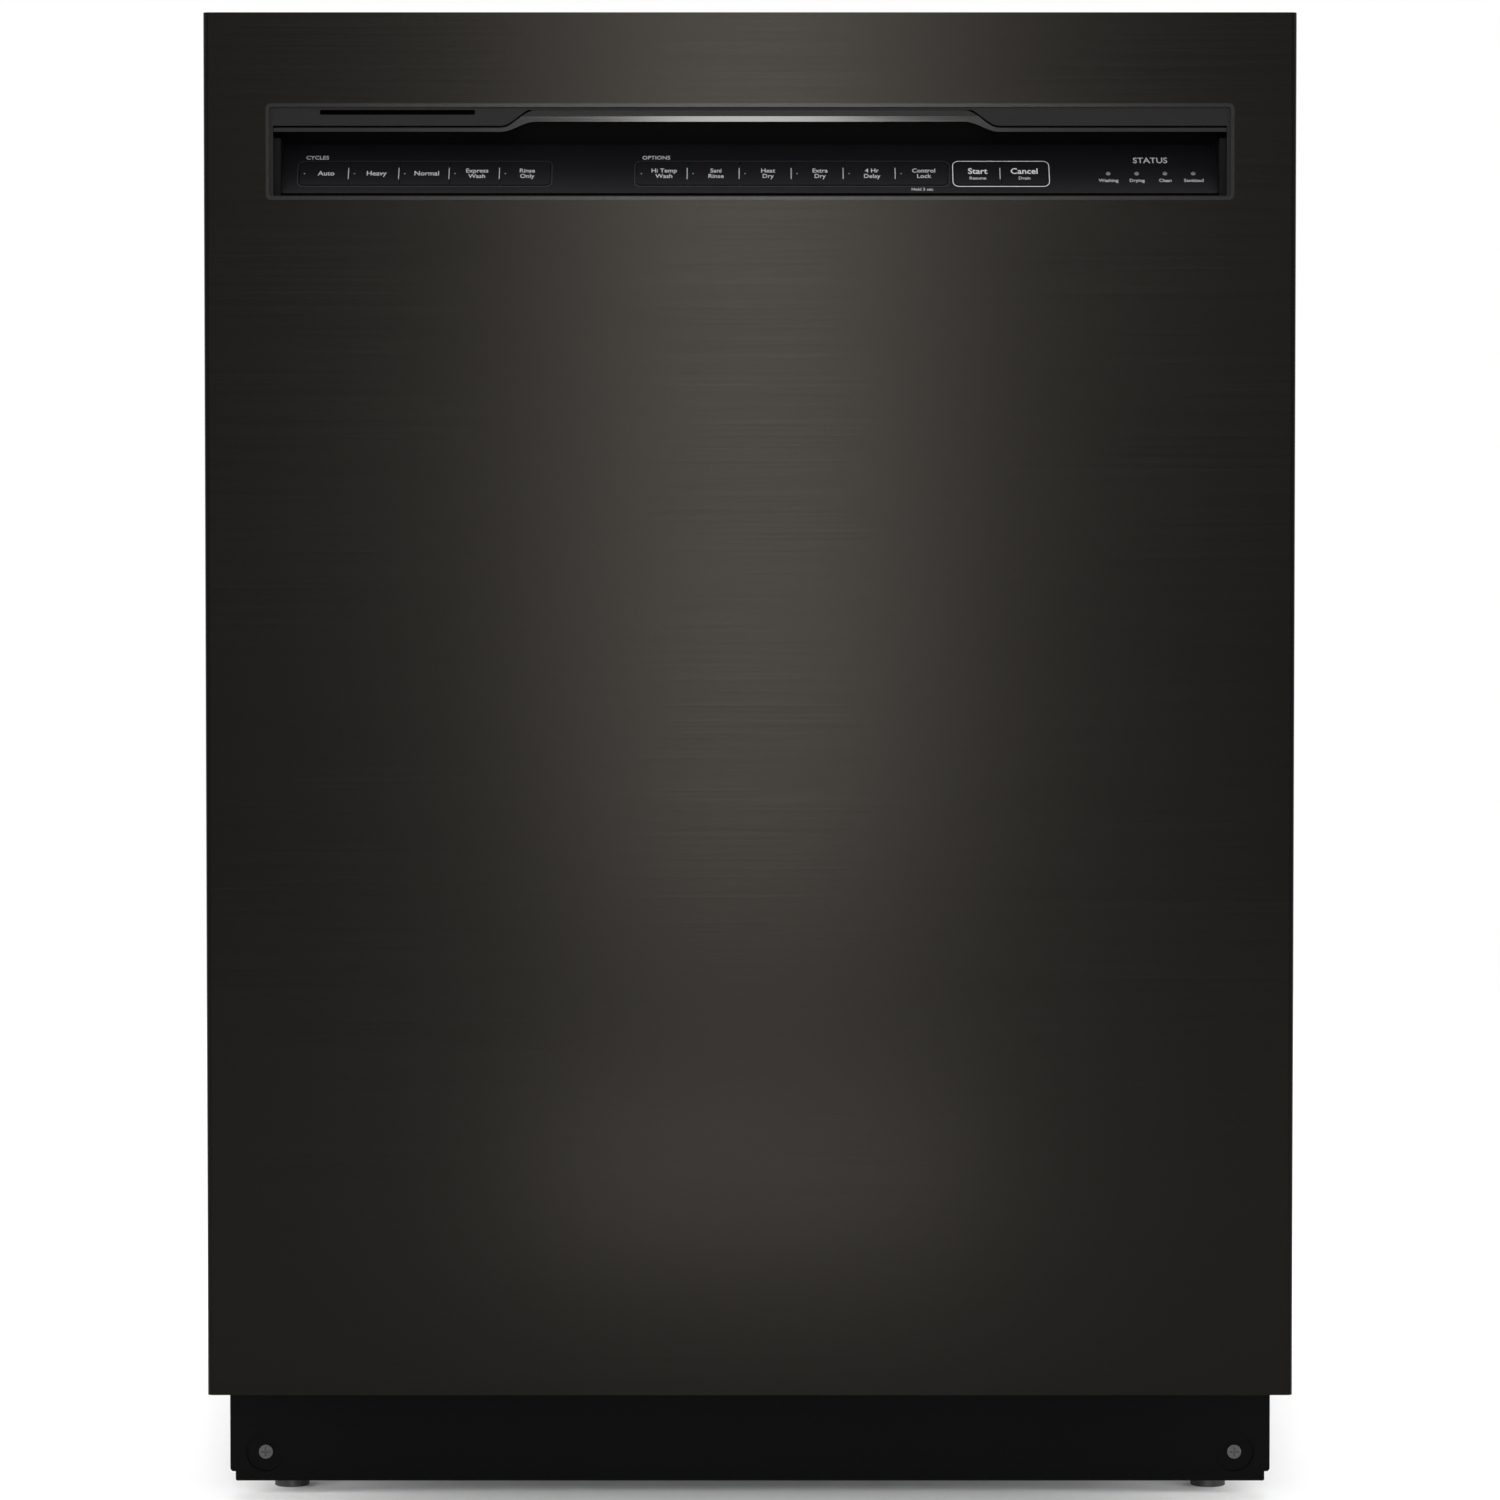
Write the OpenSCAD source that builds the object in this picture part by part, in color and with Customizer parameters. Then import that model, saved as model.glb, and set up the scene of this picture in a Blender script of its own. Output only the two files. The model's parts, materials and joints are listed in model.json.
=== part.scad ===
// Built-in dishwasher with a pocket-handle console and front-facing controls.
// Millimetres, +Z up. The origin is on the floor, at the centre of the width and
// depth; the door faces -Y.

/* [Overall] */
// Width of the door face
door_w = 606; // [590:1:760]
// Height from the floor to the top of the mounting brackets
overall_h = 840; // [800:1:1020]
// Depth from the door face to the back of the base
overall_d = 622; // [520:1:760]

/* [Door] */
// Height of the door's lower edge above the floor
door_bottom = 69; // [66:1:72]
// Height of the mounting brackets above the door's upper edge
bracket_rise = 2; // [1:0.5:5]
// Sheet thickness of the door skin
skin_t = 1; // [0.6:0.1:1.5]
// Radius of the door skin's vertical edges
skin_r = 3; // [1.5:0.5:5]
// Depth of the folded sides of the door skin
skin_return = 27; // [22:1:28]
// Thickness of the door from the skin's face to the liner's sealing plane
door_t = 47; // [42:1:50]
// How far the liner's middle stands into the tub
liner_bulge = 13; // [6:1:18]
// Furthest that the door opens, in degrees
door_open = 90; // [60:5:90]

/* [Console] */
// Width of door skin left at each side of the console
console_side = 34.7; // [25:0.1:45]
// Height of door skin left above the console
console_drop = 50.3; // [44:0.1:60]
// Height of the console opening
console_h = 53.4; // [50:0.1:62]
// Width of the bezel around the console
bezel_w = 2; // [1.5:0.1:4]
// Height of the bezel above the skin
bezel_proud = 0.8; // [0.4:0.1:1.5]
// Depth of the console box behind the bezel
console_depth = 40; // [38:0.5:42]
// Half width of the deep finger pocket
pocket_hw = 98; // [60:1:115]
// Height of the finger pocket above the console opening
pocket_rise = 17; // [8:1:18]
// Half width of the raised middle of the handle's lip
lip_in = 119; // [110:1:150]
// Width of each S-shaped step of the lip
lip_step = 19; // [10:1:40]

/* [Controls] */
// Tilt of the fascia from upright, in degrees
fascia_tilt = 34; // [25:1:36]
// Height of the fascia measured along its face
fascia_len = 35; // [33:0.5:36]
// Distance from the bezel's front to the fascia's lower edge
fascia_setback = 5.5; // [3:0.5:7]
// Thickness of the fascia
fascia_t = 2.5; // [2:0.1:3]
// Height of a key along the fascia
key_h = 16.7; // [12:0.1:18]
// Distance between the cycle keys
cycle_pitch = 28; // [24:0.1:28]
// Distance between the option keys
option_pitch = 28.95; // [24:0.05:29]
// Distance between the start and cancel keys
start_pitch = 26.15; // [22:0.05:27]
// Travel of a key
key_travel = 0.6; // [0.3:0.1:0.7]
// Distance between the status lights
light_pitch = 15.8; // [12:0.1:16]

/* [Tub] */
// Sheet thickness of the tub
tub_t = 1; // [0.8:0.1:2]
// Height of the tub's floor above the floor of the room
tub_floor = 152; // [148:1:170]
// Gap between the tub's wall and the door's edge at each side
tub_side = 28; // [26:1:34]
// Gap between the tub's ceiling and the door's upper edge
tub_drop = 18; // [16:1:24]
// Radius of the tub's corners
tub_r = 12; // [6:1:12]
// Thickness of the sound blanket
blanket_t = 11; // [6:1:12]

/* [Base] */
// Radius of a levelling leg's stud
stud_r = 5; // [4:0.5:6]
// Radius of a levelling foot
foot_r = 10; // [8:0.5:14]
// Travel of a levelling leg
leg_travel = 20; // [10:1:25]
// Height of the toe panel's upper edge
toe_top = 62; // [58:0.5:62]
// Distance from the door's face to the toe panel's face
toe_setback = 70; // [64:1:80]
// Radius of the round recesses in the toe panel
dimple_r = 11.4; // [8:0.1:14]

/* [Hinge] */
// Height of the hinge pins
hinge_z = 115; // [113:1:118]
// Distance from the skin's face to the hinge pins
hinge_back = 35.2; // [34:0.2:38]
// Radius of a hinge pin
hinge_pin_r = 4; // [3:0.5:5]
// Radius at which the spring straps leave the hinge arms
strap_r = 22; // [18:1:24]

/* [Racks] */
// Radius of a rack wire
wire_r = 2; // [1.6:0.1:2.6]
// Distance between the floor wires of a rack
wire_pitch = 31; // [26:1:45]
// Radius of a lower rack wheel
wheel_r = 17.7; // [15:0.1:19]
// Height of the lower rack's walls
lower_rack_h = 126; // [100:1:150]
// Height of the upper rack's walls
upper_rack_h = 140; // [90:1:150]
// Length of a lower spray arm from tip to tip
arm_len = 470; // [300:5:480]
// Height of the silverware basket
basket_h = 118; // [90:1:125]

/* [Fits] */
// Radial clearance of a turning fit
run_fit = 0.05; // [0.03:0.01:0.1]
// Gap between parts that move past each other
slip = 0.3; // [0.2:0.05:0.5]

/* [Hidden] */
$fn = 48;

// Door planes and edges
half_w = door_w / 2;
front_y = -overall_d / 2;
back_y = overall_d / 2;
door_top = overall_h - bracket_rise;
skin_y = front_y + bezel_proud;
hem_y = skin_y + skin_return;
door_back = skin_y + door_t;
liner_hw = half_w - 15;
liner_z0 = door_bottom + 10;
liner_z1 = door_top - 5;
hinge_y = skin_y + hinge_back;
hem_w = 7.5;
screw_x = half_w - 5;

// Console, measured from the door's upper edge
console_z1 = door_top - console_drop;
console_z0 = console_z1 - console_h;
console_hw = half_w - console_side;
wall_t = 2;
wall_in = console_hw - bezel_w - wall_t;
console_back = front_y + console_depth;
pocket_z = console_z1 + pocket_rise;
fascia_hw = wall_in - 4;
fascia_y = front_y + fascia_setback;
fascia_z = console_z0 + 4.4;
fascia_top = fascia_z + fascia_len * cos(fascia_tilt);
lip_z = [console_z1 - 15.6, console_z1 - 13.5];
lip_mid = [console_z1 - 10, console_z1 - 3.7];
groove = 1.3;
lip_out = lip_in + lip_step;
lip_y = skin_y + 0.4;
band_y = front_y + 1.2;
band_back = front_y + 7;

// Keys, measured along the fascia from its left end
key_z = 5.4;
cycle_x = -fascia_hw + 9.3;
option_x = cycle_x + 5 * cycle_pitch + 47.6;
start_x = option_x + 6 * option_pitch + 3.3;
light_x = start_x + 2 * start_pitch + 33.4;
light_z = 14;
light_r = 1.2;
key_proud = 0.3;
key_t = 2.2;
stem_len = 2.8;
board_y = 7;
board_t = 1.6;

// Tub
tub_front = door_back + 1.2;
tub_back = back_y - 32;
tub_hw = half_w - tub_side;
tub_top = door_top - tub_drop;
rim_w = 12;
rim_t = 1.5;
sump_y = -5;
sump_r = 95;

// Base, springs and legs
rail_x = half_w - 9;
rail_t = 2;
rail_z0 = toe_top;
rail_z1 = tub_floor - tub_t;
rail_front = hinge_y + 51;
toe_y = skin_y + toe_setback - 1.2;
toe_t = 2.4;
toe_hw = half_w - 4.5;
brace_t = 2;
brace_y = toe_y + toe_t;
lane_x = half_w - 18.5;
strap_z = hinge_z + strap_r;
strap_t = 1;
link_y = rail_front + 14;
spring_len = 120;
anchor_y = link_y + spring_len + 10;
leg_x = half_w - 37;
leg_y = [rail_front + 12, back_y - 30];
boss_drop = 12;
foot_h = 8;

// Things inside the tub
rack_hw = tub_hw - 27;
rack_front = tub_front + 34;
rack_back = tub_back - 37;
rack_floor = tub_floor + 52;
wheel_z = tub_floor + wheel_r + slip;
wheel_w = 9;
wheel_x = rack_hw + 5;
axle_r = 3;
wheel_y = [rack_front + 60, rack_back - 60];
axle_end = wheel_x + wheel_w + 2 - rack_hw;
upper_floor = tub_top - 340;
upper_hw = tub_hw - 23;
rail_mid = upper_floor + 80;
arm_w = 40;
arm_t = 11;
lower_arm_z = tub_floor + 26;
middle_arm_z = upper_floor - 34;
top_arm_z = tub_top - 32;
top_arm_len = 220;
top_arm_w = 30;
top_arm_t = 7;
pipe_r = 8;
pipe_y = tub_back - 18;
cup_x = 55;
cup_r = 27;
dispenser_z = [tub_floor + 180, tub_floor + 345];
dispenser_hw = 85;
dispenser_y = door_back + liner_bulge + 3;
lid_travel = 68;
basket_x = [40, rack_hw - 12];
basket_y = [rack_front + 8, rack_front + 78];
basket_z = rack_floor + 2 * wire_r + 1;
tine_y = 60;
tine_len = 92;
tine_z = rack_floor + 3.2 * wire_r;

// ---------------------------------------------------------------- shared shapes

// Extrudes a flat outline (x, z) along Y
module along_y(y0, y1) {
  translate([0, y1, 0]) rotate([90, 0, 0]) linear_extrude(y1 - y0) children();
}

// Extrudes a flat outline (y, z) along X
module along_x(x0, x1) {
  translate([x0, 0, 0]) rotate([90, 0, 90]) linear_extrude(x1 - x0) children();
}

// Box between two corners
module box(a, b) {
  translate(a) cube(b - a);
}

// Flat rectangle with round corners between two corners
module round_rect(a, b, r) {
  translate([a[0] + r, a[1]]) square([b[0] - a[0] - 2 * r, b[1] - a[1]]);
  translate([a[0], a[1] + r]) square([b[0] - a[0], b[1] - a[1] - 2 * r]);
  for (x = [a[0] + r, b[0] - r], z = [a[1] + r, b[1] - r])
    translate([x, z]) circle(r);
}

// Cylinder along X, Y or Z between two places on that axis
module rod_x(x0, x1, y, z, r) {
  translate([x0, y, z]) rotate([0, 90, 0]) cylinder(h = x1 - x0, r = r);
}

module rod_y(y0, y1, x, z, r) {
  translate([x, y0, z]) rotate([-90, 0, 0]) cylinder(h = y1 - y0, r = r);
}

module rod_z(z0, z1, x, y, r) {
  translate([x, y, z0]) cylinder(h = z1 - z0, r = r);
}

// The same thing at both sides of the middle
module both_sides() {
  children();
  mirror([1, 0, 0]) children();
}

// Box between two corners at the right side, or at the left side where s is -1
module side_box(s, a, b) {
  if (s > 0) box(a, b);
  else mirror([1, 0, 0]) box(a, b);
}

// Equal steps from a to b, no wider than pitch
function steps(a, b, pitch) = let (n = ceil((b - a) / pitch)) [for (i = [0:n]) a + (b - a) * i / n];

// ---------------------------------------------------------------- door

module skin_outline(inset) {
  r = skin_r - inset;
  x = half_w - inset;
  translate([-x, skin_y + skin_r]) square([2 * x, skin_return - skin_r]);
  translate([-x + r, skin_y + inset]) square([2 * (x - r), skin_return - inset]);
  for (s = [-1, 1]) translate([s * (x - r), skin_y + skin_r]) circle(r);
}

module door_panel() {
  color([0.16, 0.15, 0.14]) difference() {
    union() {
      translate([0, 0, door_bottom]) linear_extrude(door_top - door_bottom) difference() {
        skin_outline(0);
        skin_outline(skin_t);
      }
      for (z = [door_bottom, door_top - skin_t])
        translate([0, 0, z]) linear_extrude(skin_t) skin_outline(0);
      both_sides()
        box([half_w - skin_t - hem_w, hem_y - skin_t, door_bottom], [half_w - skin_t / 2, hem_y, door_top]);
    }
    box([-console_hw + bezel_w / 2, skin_y - 1, console_z0 + bezel_w / 2],
        [console_hw - bezel_w / 2, skin_y + skin_t + 1, console_z1 - bezel_w / 2]);
    screw_places() rod_y(hem_y - 5, hem_y + 5, 0, 0, 2.1);
  }
}

// Places of the screws along both door sides
module screw_places() {
  both_sides()
    for (z = steps(door_bottom + 91, door_top - 38, 130)) translate([screw_x, 0, z]) children();
}

module inner_door() {
  bulge_x = liner_hw - 38;
  bulge_z = [tub_floor + 23, liner_z1 - 40];
  bulge_back = door_back + liner_bulge;
  lx = liner_hw - tub_t;
  color([0.62, 0.63, 0.64]) difference() {
    union() {
      along_y(hem_y, door_back) round_rect([-liner_hw, liner_z0], [liner_hw, liner_z1], 4);
      along_y(hem_y, hem_y + tub_t)
        round_rect([-half_w + skin_t + 1, door_bottom + 2], [half_w - skin_t - 1, door_top - 2], 3);
      along_y(door_back - 3, bulge_back) round_rect([-bulge_x, bulge_z[0]], [bulge_x, bulge_z[1]], 14);
    }
    along_y(hem_y - 1, door_back - tub_t)
      round_rect([-lx, liner_z0 + tub_t], [lx, liner_z1 - tub_t], 3);
    along_y(door_back - 5, bulge_back - tub_t)
      round_rect([-bulge_x + tub_t, bulge_z[0] + tub_t], [bulge_x - tub_t, bulge_z[1] - tub_t], 13);
    // slots for the hinge arms and the strike
    both_sides() box([lane_x - 5, door_back - 5, hinge_z - strap_r - 4],
                     [lx, door_back + 1, hinge_z + strap_r + 6]);
    box([-17, door_back - 5, liner_z1 - 14], [17, door_back + 1, liner_z1 - 2]);
    // hinge pins pass through the side walls
    both_sides() rod_x(lx - 3, liner_hw + 3, hinge_y, hinge_z, hinge_pin_r + 1);
    along_y(bulge_back - 4, bulge_back + 1)
      round_rect([-dispenser_hw + 5, dispenser_z[0] + 5], [dispenser_hw - 5, dispenser_z[1] - 5], 6);
    screw_places() rod_y(hem_y - 5, hem_y + 5, 0, 0, 2.1);
  }
}

module door_screws() {
  color([0.55, 0.55, 0.55]) screw_places() {
    rod_y(hem_y + tub_t, hem_y + tub_t + 1.8, 0, 0, 3.4);
    rod_y(hem_y - 6, hem_y + tub_t + 0.5, 0, 0, 1.9);
  }
}

// ---------------------------------------------------------------- console

// Share of the middle's rise that the lip has at x
function ease(t) = t <= 0 ? 0 : t >= 1 ? 1 : t * t * (3 - 2 * t);
function lip_rise(x) = ease((lip_out - abs(x)) / lip_step);
function blend_z(side, middle, x) = side + (middle - side) * lip_rise(x);
lip_xs = let (n = 10, up = [for (i = [0:n]) lip_out - lip_step * i / n])
  concat([for (x = up) -x], [for (i = [n:-1:0]) up[i]]);

// Outline between two S-shaped edges, out to both ends
module swept_band(hw, low, high) {
  xs = concat([-hw], lip_xs, [hw]);
  n = len(xs);
  polygon(concat([for (x = xs) [x, blend_z(low[0], low[1], x)]],
                 [for (i = [n - 1:-1:0]) [xs[i], blend_z(high[0], high[1], xs[i])]]));
}

module console_frame() {
  box_out = console_hw - bezel_w;
  z0 = console_z0 + bezel_w;
  z1 = console_z1 - bezel_w;
  color([0.07, 0.07, 0.08]) difference() {
    union() {
      // bezel that lies on the door skin
      along_y(front_y, skin_y)
        round_rect([-console_hw, console_z0], [console_hw, console_z1], 3);
      along_y(front_y + 0.2, console_back)
        round_rect([-box_out - 0.5, z0 - 0.5], [box_out + 0.5, z1 + 0.5], 2);
      // deep part of the pocket, behind the skin
      along_y(skin_y + skin_t + slip, console_back)
        round_rect([-pocket_hw - wall_t, z1 - 4], [pocket_hw + wall_t, pocket_z + wall_t], 4);
    }
    along_y(front_y - 1, console_back - wall_t)
      round_rect([-wall_in, z0 + 0.6], [wall_in, z1 - wall_t + 0.5], 1);
    along_y(front_y - 1, front_y + 1.4)
      round_rect([-box_out, z0], [box_out, z1], 1.5);
    along_y(band_back + 1, console_back - wall_t)
      round_rect([-pocket_hw, z1 - 6], [pocket_hw, pocket_z], 3);
  }
  // upper band with the vent slot at its left
  color([0.10, 0.10, 0.11]) difference() {
    along_y(band_y, band_back)
      swept_band(wall_in + 0.5, [lip_z[1] + groove, lip_mid[1] + groove], [z1 + 0.3, z1 + 0.3]);
    along_y(band_y - 1, band_back + 1)
      round_rect([-console_hw + 30, console_z1 - 6.2], [-console_hw + 116, console_z1 - 3.4], 1);
  }
  // cheeks that hold the fascia and the board, and the pocket's floor
  color([0.05, 0.05, 0.06]) {
    both_sides()
      box([fascia_hw, front_y + 3, z0], [wall_in + 1, console_back - 1, fascia_top + 1]);
    box([-fascia_hw - 1, fascia_y + fascia_len * sin(fascia_tilt) + 3, fascia_top - 5],
        [fascia_hw + 1, console_back - 1, fascia_top - 3]);
  }
}

module handle_lip() {
  hw = wall_in - slip;
  color([0.32, 0.31, 0.30]) {
    along_y(lip_y, band_back) swept_band(hw, [lip_z[0], lip_mid[0]], [lip_z[1], lip_mid[1]]);
    along_y(band_back, band_back + 1)
      swept_band(hw, [lip_z[0], lip_mid[0]], [lip_z[1] + 4.5, console_z1 - 2 * bezel_w - 0.2]);
  }
}

// Puts children on the fascia: x across, y into the door, z up the slope
module on_fascia() {
  translate([0, fascia_y, fascia_z]) rotate([-fascia_tilt, 0, 0]) children();
}

// Window of a group of keys
module key_window(x0, n, pitch, inset) {
  round_rect([x0 + inset, key_z + inset], [x0 + n * pitch - inset, key_z + key_h - inset], 3 - inset);
}

module control_fascia() {
  color([0.10, 0.10, 0.11]) on_fascia() difference() {
    along_y(0, fascia_t) round_rect([-fascia_hw, 0], [fascia_hw, fascia_len], 1);
    along_y(-1, fascia_t + 1) {
      key_window(cycle_x, 5, cycle_pitch, 0);
      key_window(option_x, 6, option_pitch, 0);
      key_window(start_x, 2, start_pitch, 0);
    }
    for (i = [0:3]) rod_y(-1, fascia_t + 1, light_x + i * light_pitch, light_z, light_r + 0.1);
  }
}

// Key number i in a group of n keys that starts at x0
module key_plate(x0, n, pitch, i) {
  left = x0 + i * pitch + 0.15;
  mid_x = x0 + (i + 0.5) * pitch;
  color([0.12, 0.12, 0.13]) on_fascia() {
    along_y(-key_proud, key_t) intersection() {
      key_window(x0, n, pitch, slip);
      translate([left, key_z]) square([pitch - slip, key_h]);
    }
    rod_y(key_t - 0.2, key_t + stem_len, mid_x, key_z + key_h / 2, 2);
  }
}

module key_auto() key_plate(cycle_x, 5, cycle_pitch, 0);
module key_heavy() key_plate(cycle_x, 5, cycle_pitch, 1);
module key_normal() key_plate(cycle_x, 5, cycle_pitch, 2);
module key_express() key_plate(cycle_x, 5, cycle_pitch, 3);
module key_rinse() key_plate(cycle_x, 5, cycle_pitch, 4);
module key_hi_temp() key_plate(option_x, 6, option_pitch, 0);
module key_sani_rinse() key_plate(option_x, 6, option_pitch, 1);
module key_heat_dry() key_plate(option_x, 6, option_pitch, 2);
module key_extra_dry() key_plate(option_x, 6, option_pitch, 3);
module key_delay() key_plate(option_x, 6, option_pitch, 4);
module key_lock() key_plate(option_x, 6, option_pitch, 5);
module key_start() key_plate(start_x, 2, start_pitch, 0);
module key_cancel() key_plate(start_x, 2, start_pitch, 1);

// Switches of one group of keys, which stand on the board
module key_switches(x0, n, pitch) {
  gap = key_travel + 0.2;
  for (i = [0:n - 1])
    box([x0 + (i + 0.5) * pitch - 3, key_t + stem_len + gap, key_z + key_h / 2 - 3],
        [x0 + (i + 0.5) * pitch + 3, board_y + 0.2, key_z + key_h / 2 + 3]);
}

module control_board() {
  color([0.10, 0.30, 0.16]) on_fascia() {
    box([-fascia_hw, board_y, 4], [fascia_hw, board_y + board_t, 30]);
    key_switches(cycle_x, 5, cycle_pitch);
    key_switches(option_x, 6, option_pitch);
    key_switches(start_x, 2, start_pitch);
    for (i = [0:3]) rod_y(0.1, board_y + 0.2, light_x + i * light_pitch, light_z, light_r);
    for (x = [-120, -40, 60, 150]) box([x, board_y + board_t - 0.2, 12], [x + 22, board_y + board_t + 3, 24]);
  }
}

// ---------------------------------------------------------------- latch

latch_z = liner_z1 - 10;
pawl_pivot = [door_back - 26, latch_z + 3];
strike_t = 2;

module latch_housing() {
  z0 = pocket_z + wall_t + 1;
  color([0.20, 0.20, 0.21]) difference() {
    along_y(skin_y + skin_t + slip, door_back - tub_t - 0.5)
      round_rect([-36, z0], [36, liner_z1 - tub_t - 0.2], 2);
    // room for the pawl and the strike, open to the tub
    box([-13, pawl_pivot[0] - 8, latch_z - 5], [13, door_back + 1, latch_z + 7.5]);
  }
  color([0.6, 0.6, 0.6]) rod_x(-14, 14, pawl_pivot[0], pawl_pivot[1], 2);
}

module latch_pawl() {
  tip = door_back - 9;
  color([0.5, 0.5, 0.5]) difference() {
    union() {
      rod_x(-8, 8, pawl_pivot[0], pawl_pivot[1], 3.6);
      box([-4, pawl_pivot[0], latch_z + 3.2], [4, tip, latch_z + 6]);
      box([-4, tip - 3, latch_z + 0.8 + strike_t / 2], [4, tip, latch_z + 4]);
    }
    rod_x(-9, 9, pawl_pivot[0], pawl_pivot[1], 2 + run_fit);
  }
}

module door_strike() {
  color([0.62, 0.62, 0.63]) difference() {
    union() {
      box([-12, tub_front + 3, tub_top + tub_t], [12, tub_front + 22, tub_top + tub_t + 1.5]);
      box([-9, tub_front + 3, tub_top + tub_t], [9, tub_front + 5, latch_z + strike_t / 2]);
      box([-9, door_back - 15, latch_z - strike_t / 2], [9, tub_front + 5, latch_z + strike_t / 2]);
    }
    box([-5.5, door_back - 13, latch_z - 2], [5.5, door_back - 4, latch_z + 2]);
  }
}

// ---------------------------------------------------------------- hinge and springs

module hinge_arms() {
  x0 = lane_x - 2.5;
  x1 = liner_hw - tub_t;
  color([0.45, 0.45, 0.46]) both_sides() difference() {
    union() {
      rod_x(x0, x0 + 4.9, hinge_y, hinge_z, strap_r - strap_t / 2);
      // leg that carries the arm on the liner's side wall
      box([x0, hinge_y - 6, hinge_z], [x0 + 4, hinge_y + 6, hinge_z + 110]);
      box([x0, hinge_y - 6, hinge_z + strap_r + 12], [x1, hinge_y + 6, hinge_z + 110]);
    }
    rod_x(x0 - 1, x1 + 1, hinge_y, hinge_z, hinge_pin_r + run_fit);
  }
}

module spring_links() {
  color([0.35, 0.35, 0.36]) both_sides() {
    box([lane_x - 4, link_y, strap_z - 4], [lane_x + 4, link_y + 10, strap_z + 4]);
    rod_y(link_y + 9.5, link_y + 16, lane_x, strap_z, 2);
  }
}

module door_springs() {
  turns = 14;
  y0 = link_y + 18;
  color([0.7, 0.7, 0.7]) both_sides() {
    for (i = [0:turns - 1]) let (p = (anchor_y - 6 - y0) / turns)
      translate([lane_x, y0 + (i + 0.5) * p, strap_z]) rotate([90, 0, 0])
        rotate_extrude() translate([4.6, 0]) circle(p * 0.31);
    rod_y(y0, anchor_y - 4, lane_x, strap_z, 3.2);
  }
}

// ---------------------------------------------------------------- base

module side_rails() {
  color([0.55, 0.56, 0.57]) both_sides() difference() {
    union() {
      box([rail_x - rail_t, rail_front, rail_z0], [rail_x, back_y, rail_z1]);
      box([rail_x - 42, rail_front, rail_z0], [rail_x, back_y, rail_z0 + rail_t]);
      box([rail_x - 30, rail_front, rail_z1 - rail_t], [rail_x, back_y, rail_z1]);
      // arm that reaches forward to the hinge pin
      box([rail_x - rail_t, hinge_y, hinge_z - 6], [rail_x, rail_front + 1, hinge_z + 10]);
      rod_x(rail_x - rail_t, rail_x, hinge_y, hinge_z, 6);
      rod_x(lane_x - 3, rail_x - rail_t / 2, hinge_y, hinge_z, hinge_pin_r);
      for (y = leg_y) rod_z(rail_z0 - boss_drop, rail_z0 + rail_t, leg_x, y, stud_r + 4);
      // block that the spring hooks on
      box([lane_x - 5, anchor_y - 4, strap_z - 5], [rail_x - rail_t / 2, anchor_y + 4, strap_z + 5]);
    }
    for (y = leg_y) rod_z(rail_z0 - boss_drop - 1, rail_z0 + rail_t + 1, leg_x, y, stud_r + run_fit);
  }
}

module cross_braces() {
  hw = rail_x - rail_t - 8;
  color([0.50, 0.51, 0.52]) difference() {
    union() {
      box([-hw, brace_y, 18], [hw, brace_y + brace_t, rail_z0]);
      box([-hw, brace_y, rail_z0 - 1.5], [hw, rail_front + 34, rail_z0]);
      box([-hw, back_y - 48, rail_z0 - 1.5], [hw, back_y - 2, rail_z0]);
      box([-hw, back_y - 4, 18], [hw, back_y - 2, rail_z0]);
    }
    both_sides() for (y = leg_y) rod_z(10, rail_z0 + 1, leg_x, y, stud_r + 5);
    both_sides() rod_y(brace_y - 1, brace_y + brace_t + 1, half_w - 25, 24.4, 2.1);
  }
}

module toe_panel() {
  color([0.10, 0.10, 0.10]) difference() {
    union() {
      along_y(toe_y, toe_y + toe_t) round_rect([-toe_hw, 13], [toe_hw, toe_top], 2);
      // strip along the lower edge
      along_y(toe_y + 0.6, toe_y + toe_t) round_rect([-toe_hw + 3, 7.5], [toe_hw - 3, 20], 1);
    }
    both_sides() rod_y(toe_y - 1, toe_y + 1.2, half_w - 25, 24.4, dimple_r);
    both_sides() rod_y(toe_y - 1, toe_y + toe_t + 1, half_w - 25, 24.4, 2.1);
  }
}

module toe_screws() {
  color([0.35, 0.35, 0.35]) both_sides() translate([half_w - 25, 0, 24.4]) difference() {
    union() {
      rod_y(toe_y - 0.8, toe_y + 1.2, 0, 0, 4);
      rod_y(toe_y + 1, brace_y + brace_t + 6, 0, 0, 1.9);
    }
    for (a = [0, 90]) rotate([0, a, 0]) box([-2.6, toe_y - 1.8, -0.45], [2.6, toe_y + 0.2, 0.45]);
  }
}

module leg(x, y) {
  color([0.28, 0.28, 0.29]) {
    rod_z(0, foot_h, x, y, foot_r);
    translate([x, y, foot_h - 0.5]) cylinder(h = 5, r = foot_r - 1.5, $fn = 6);
    rod_z(foot_h, rail_z0 + leg_travel + 6, x, y, stud_r);
  }
}

module leg_front_left() leg(-leg_x, leg_y[0]);
module leg_front_right() leg(leg_x, leg_y[0]);
module rear_legs() for (s = [-1, 1]) leg(s * leg_x, leg_y[1]);

module mounting_brackets() {
  x = tub_hw - 55;
  y0 = tub_front + 6;
  color([0.66, 0.67, 0.68]) both_sides() difference() {
    union() {
      box([x - 14, y0, tub_top + tub_t], [x + 14, y0 + 20, tub_top + tub_t + 1.5]);
      box([x - 14, y0, tub_top + tub_t], [x + 14, y0 + 1.5, overall_h]);
      box([x - 14, y0, overall_h - 1.5], [x + 14, y0 + 32, overall_h]);
    }
    for (y = [9, 23]) rod_z(overall_h - 3, overall_h + 1, x, y0 + y, 2.5);
  }
}

// ---------------------------------------------------------------- tub

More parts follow.
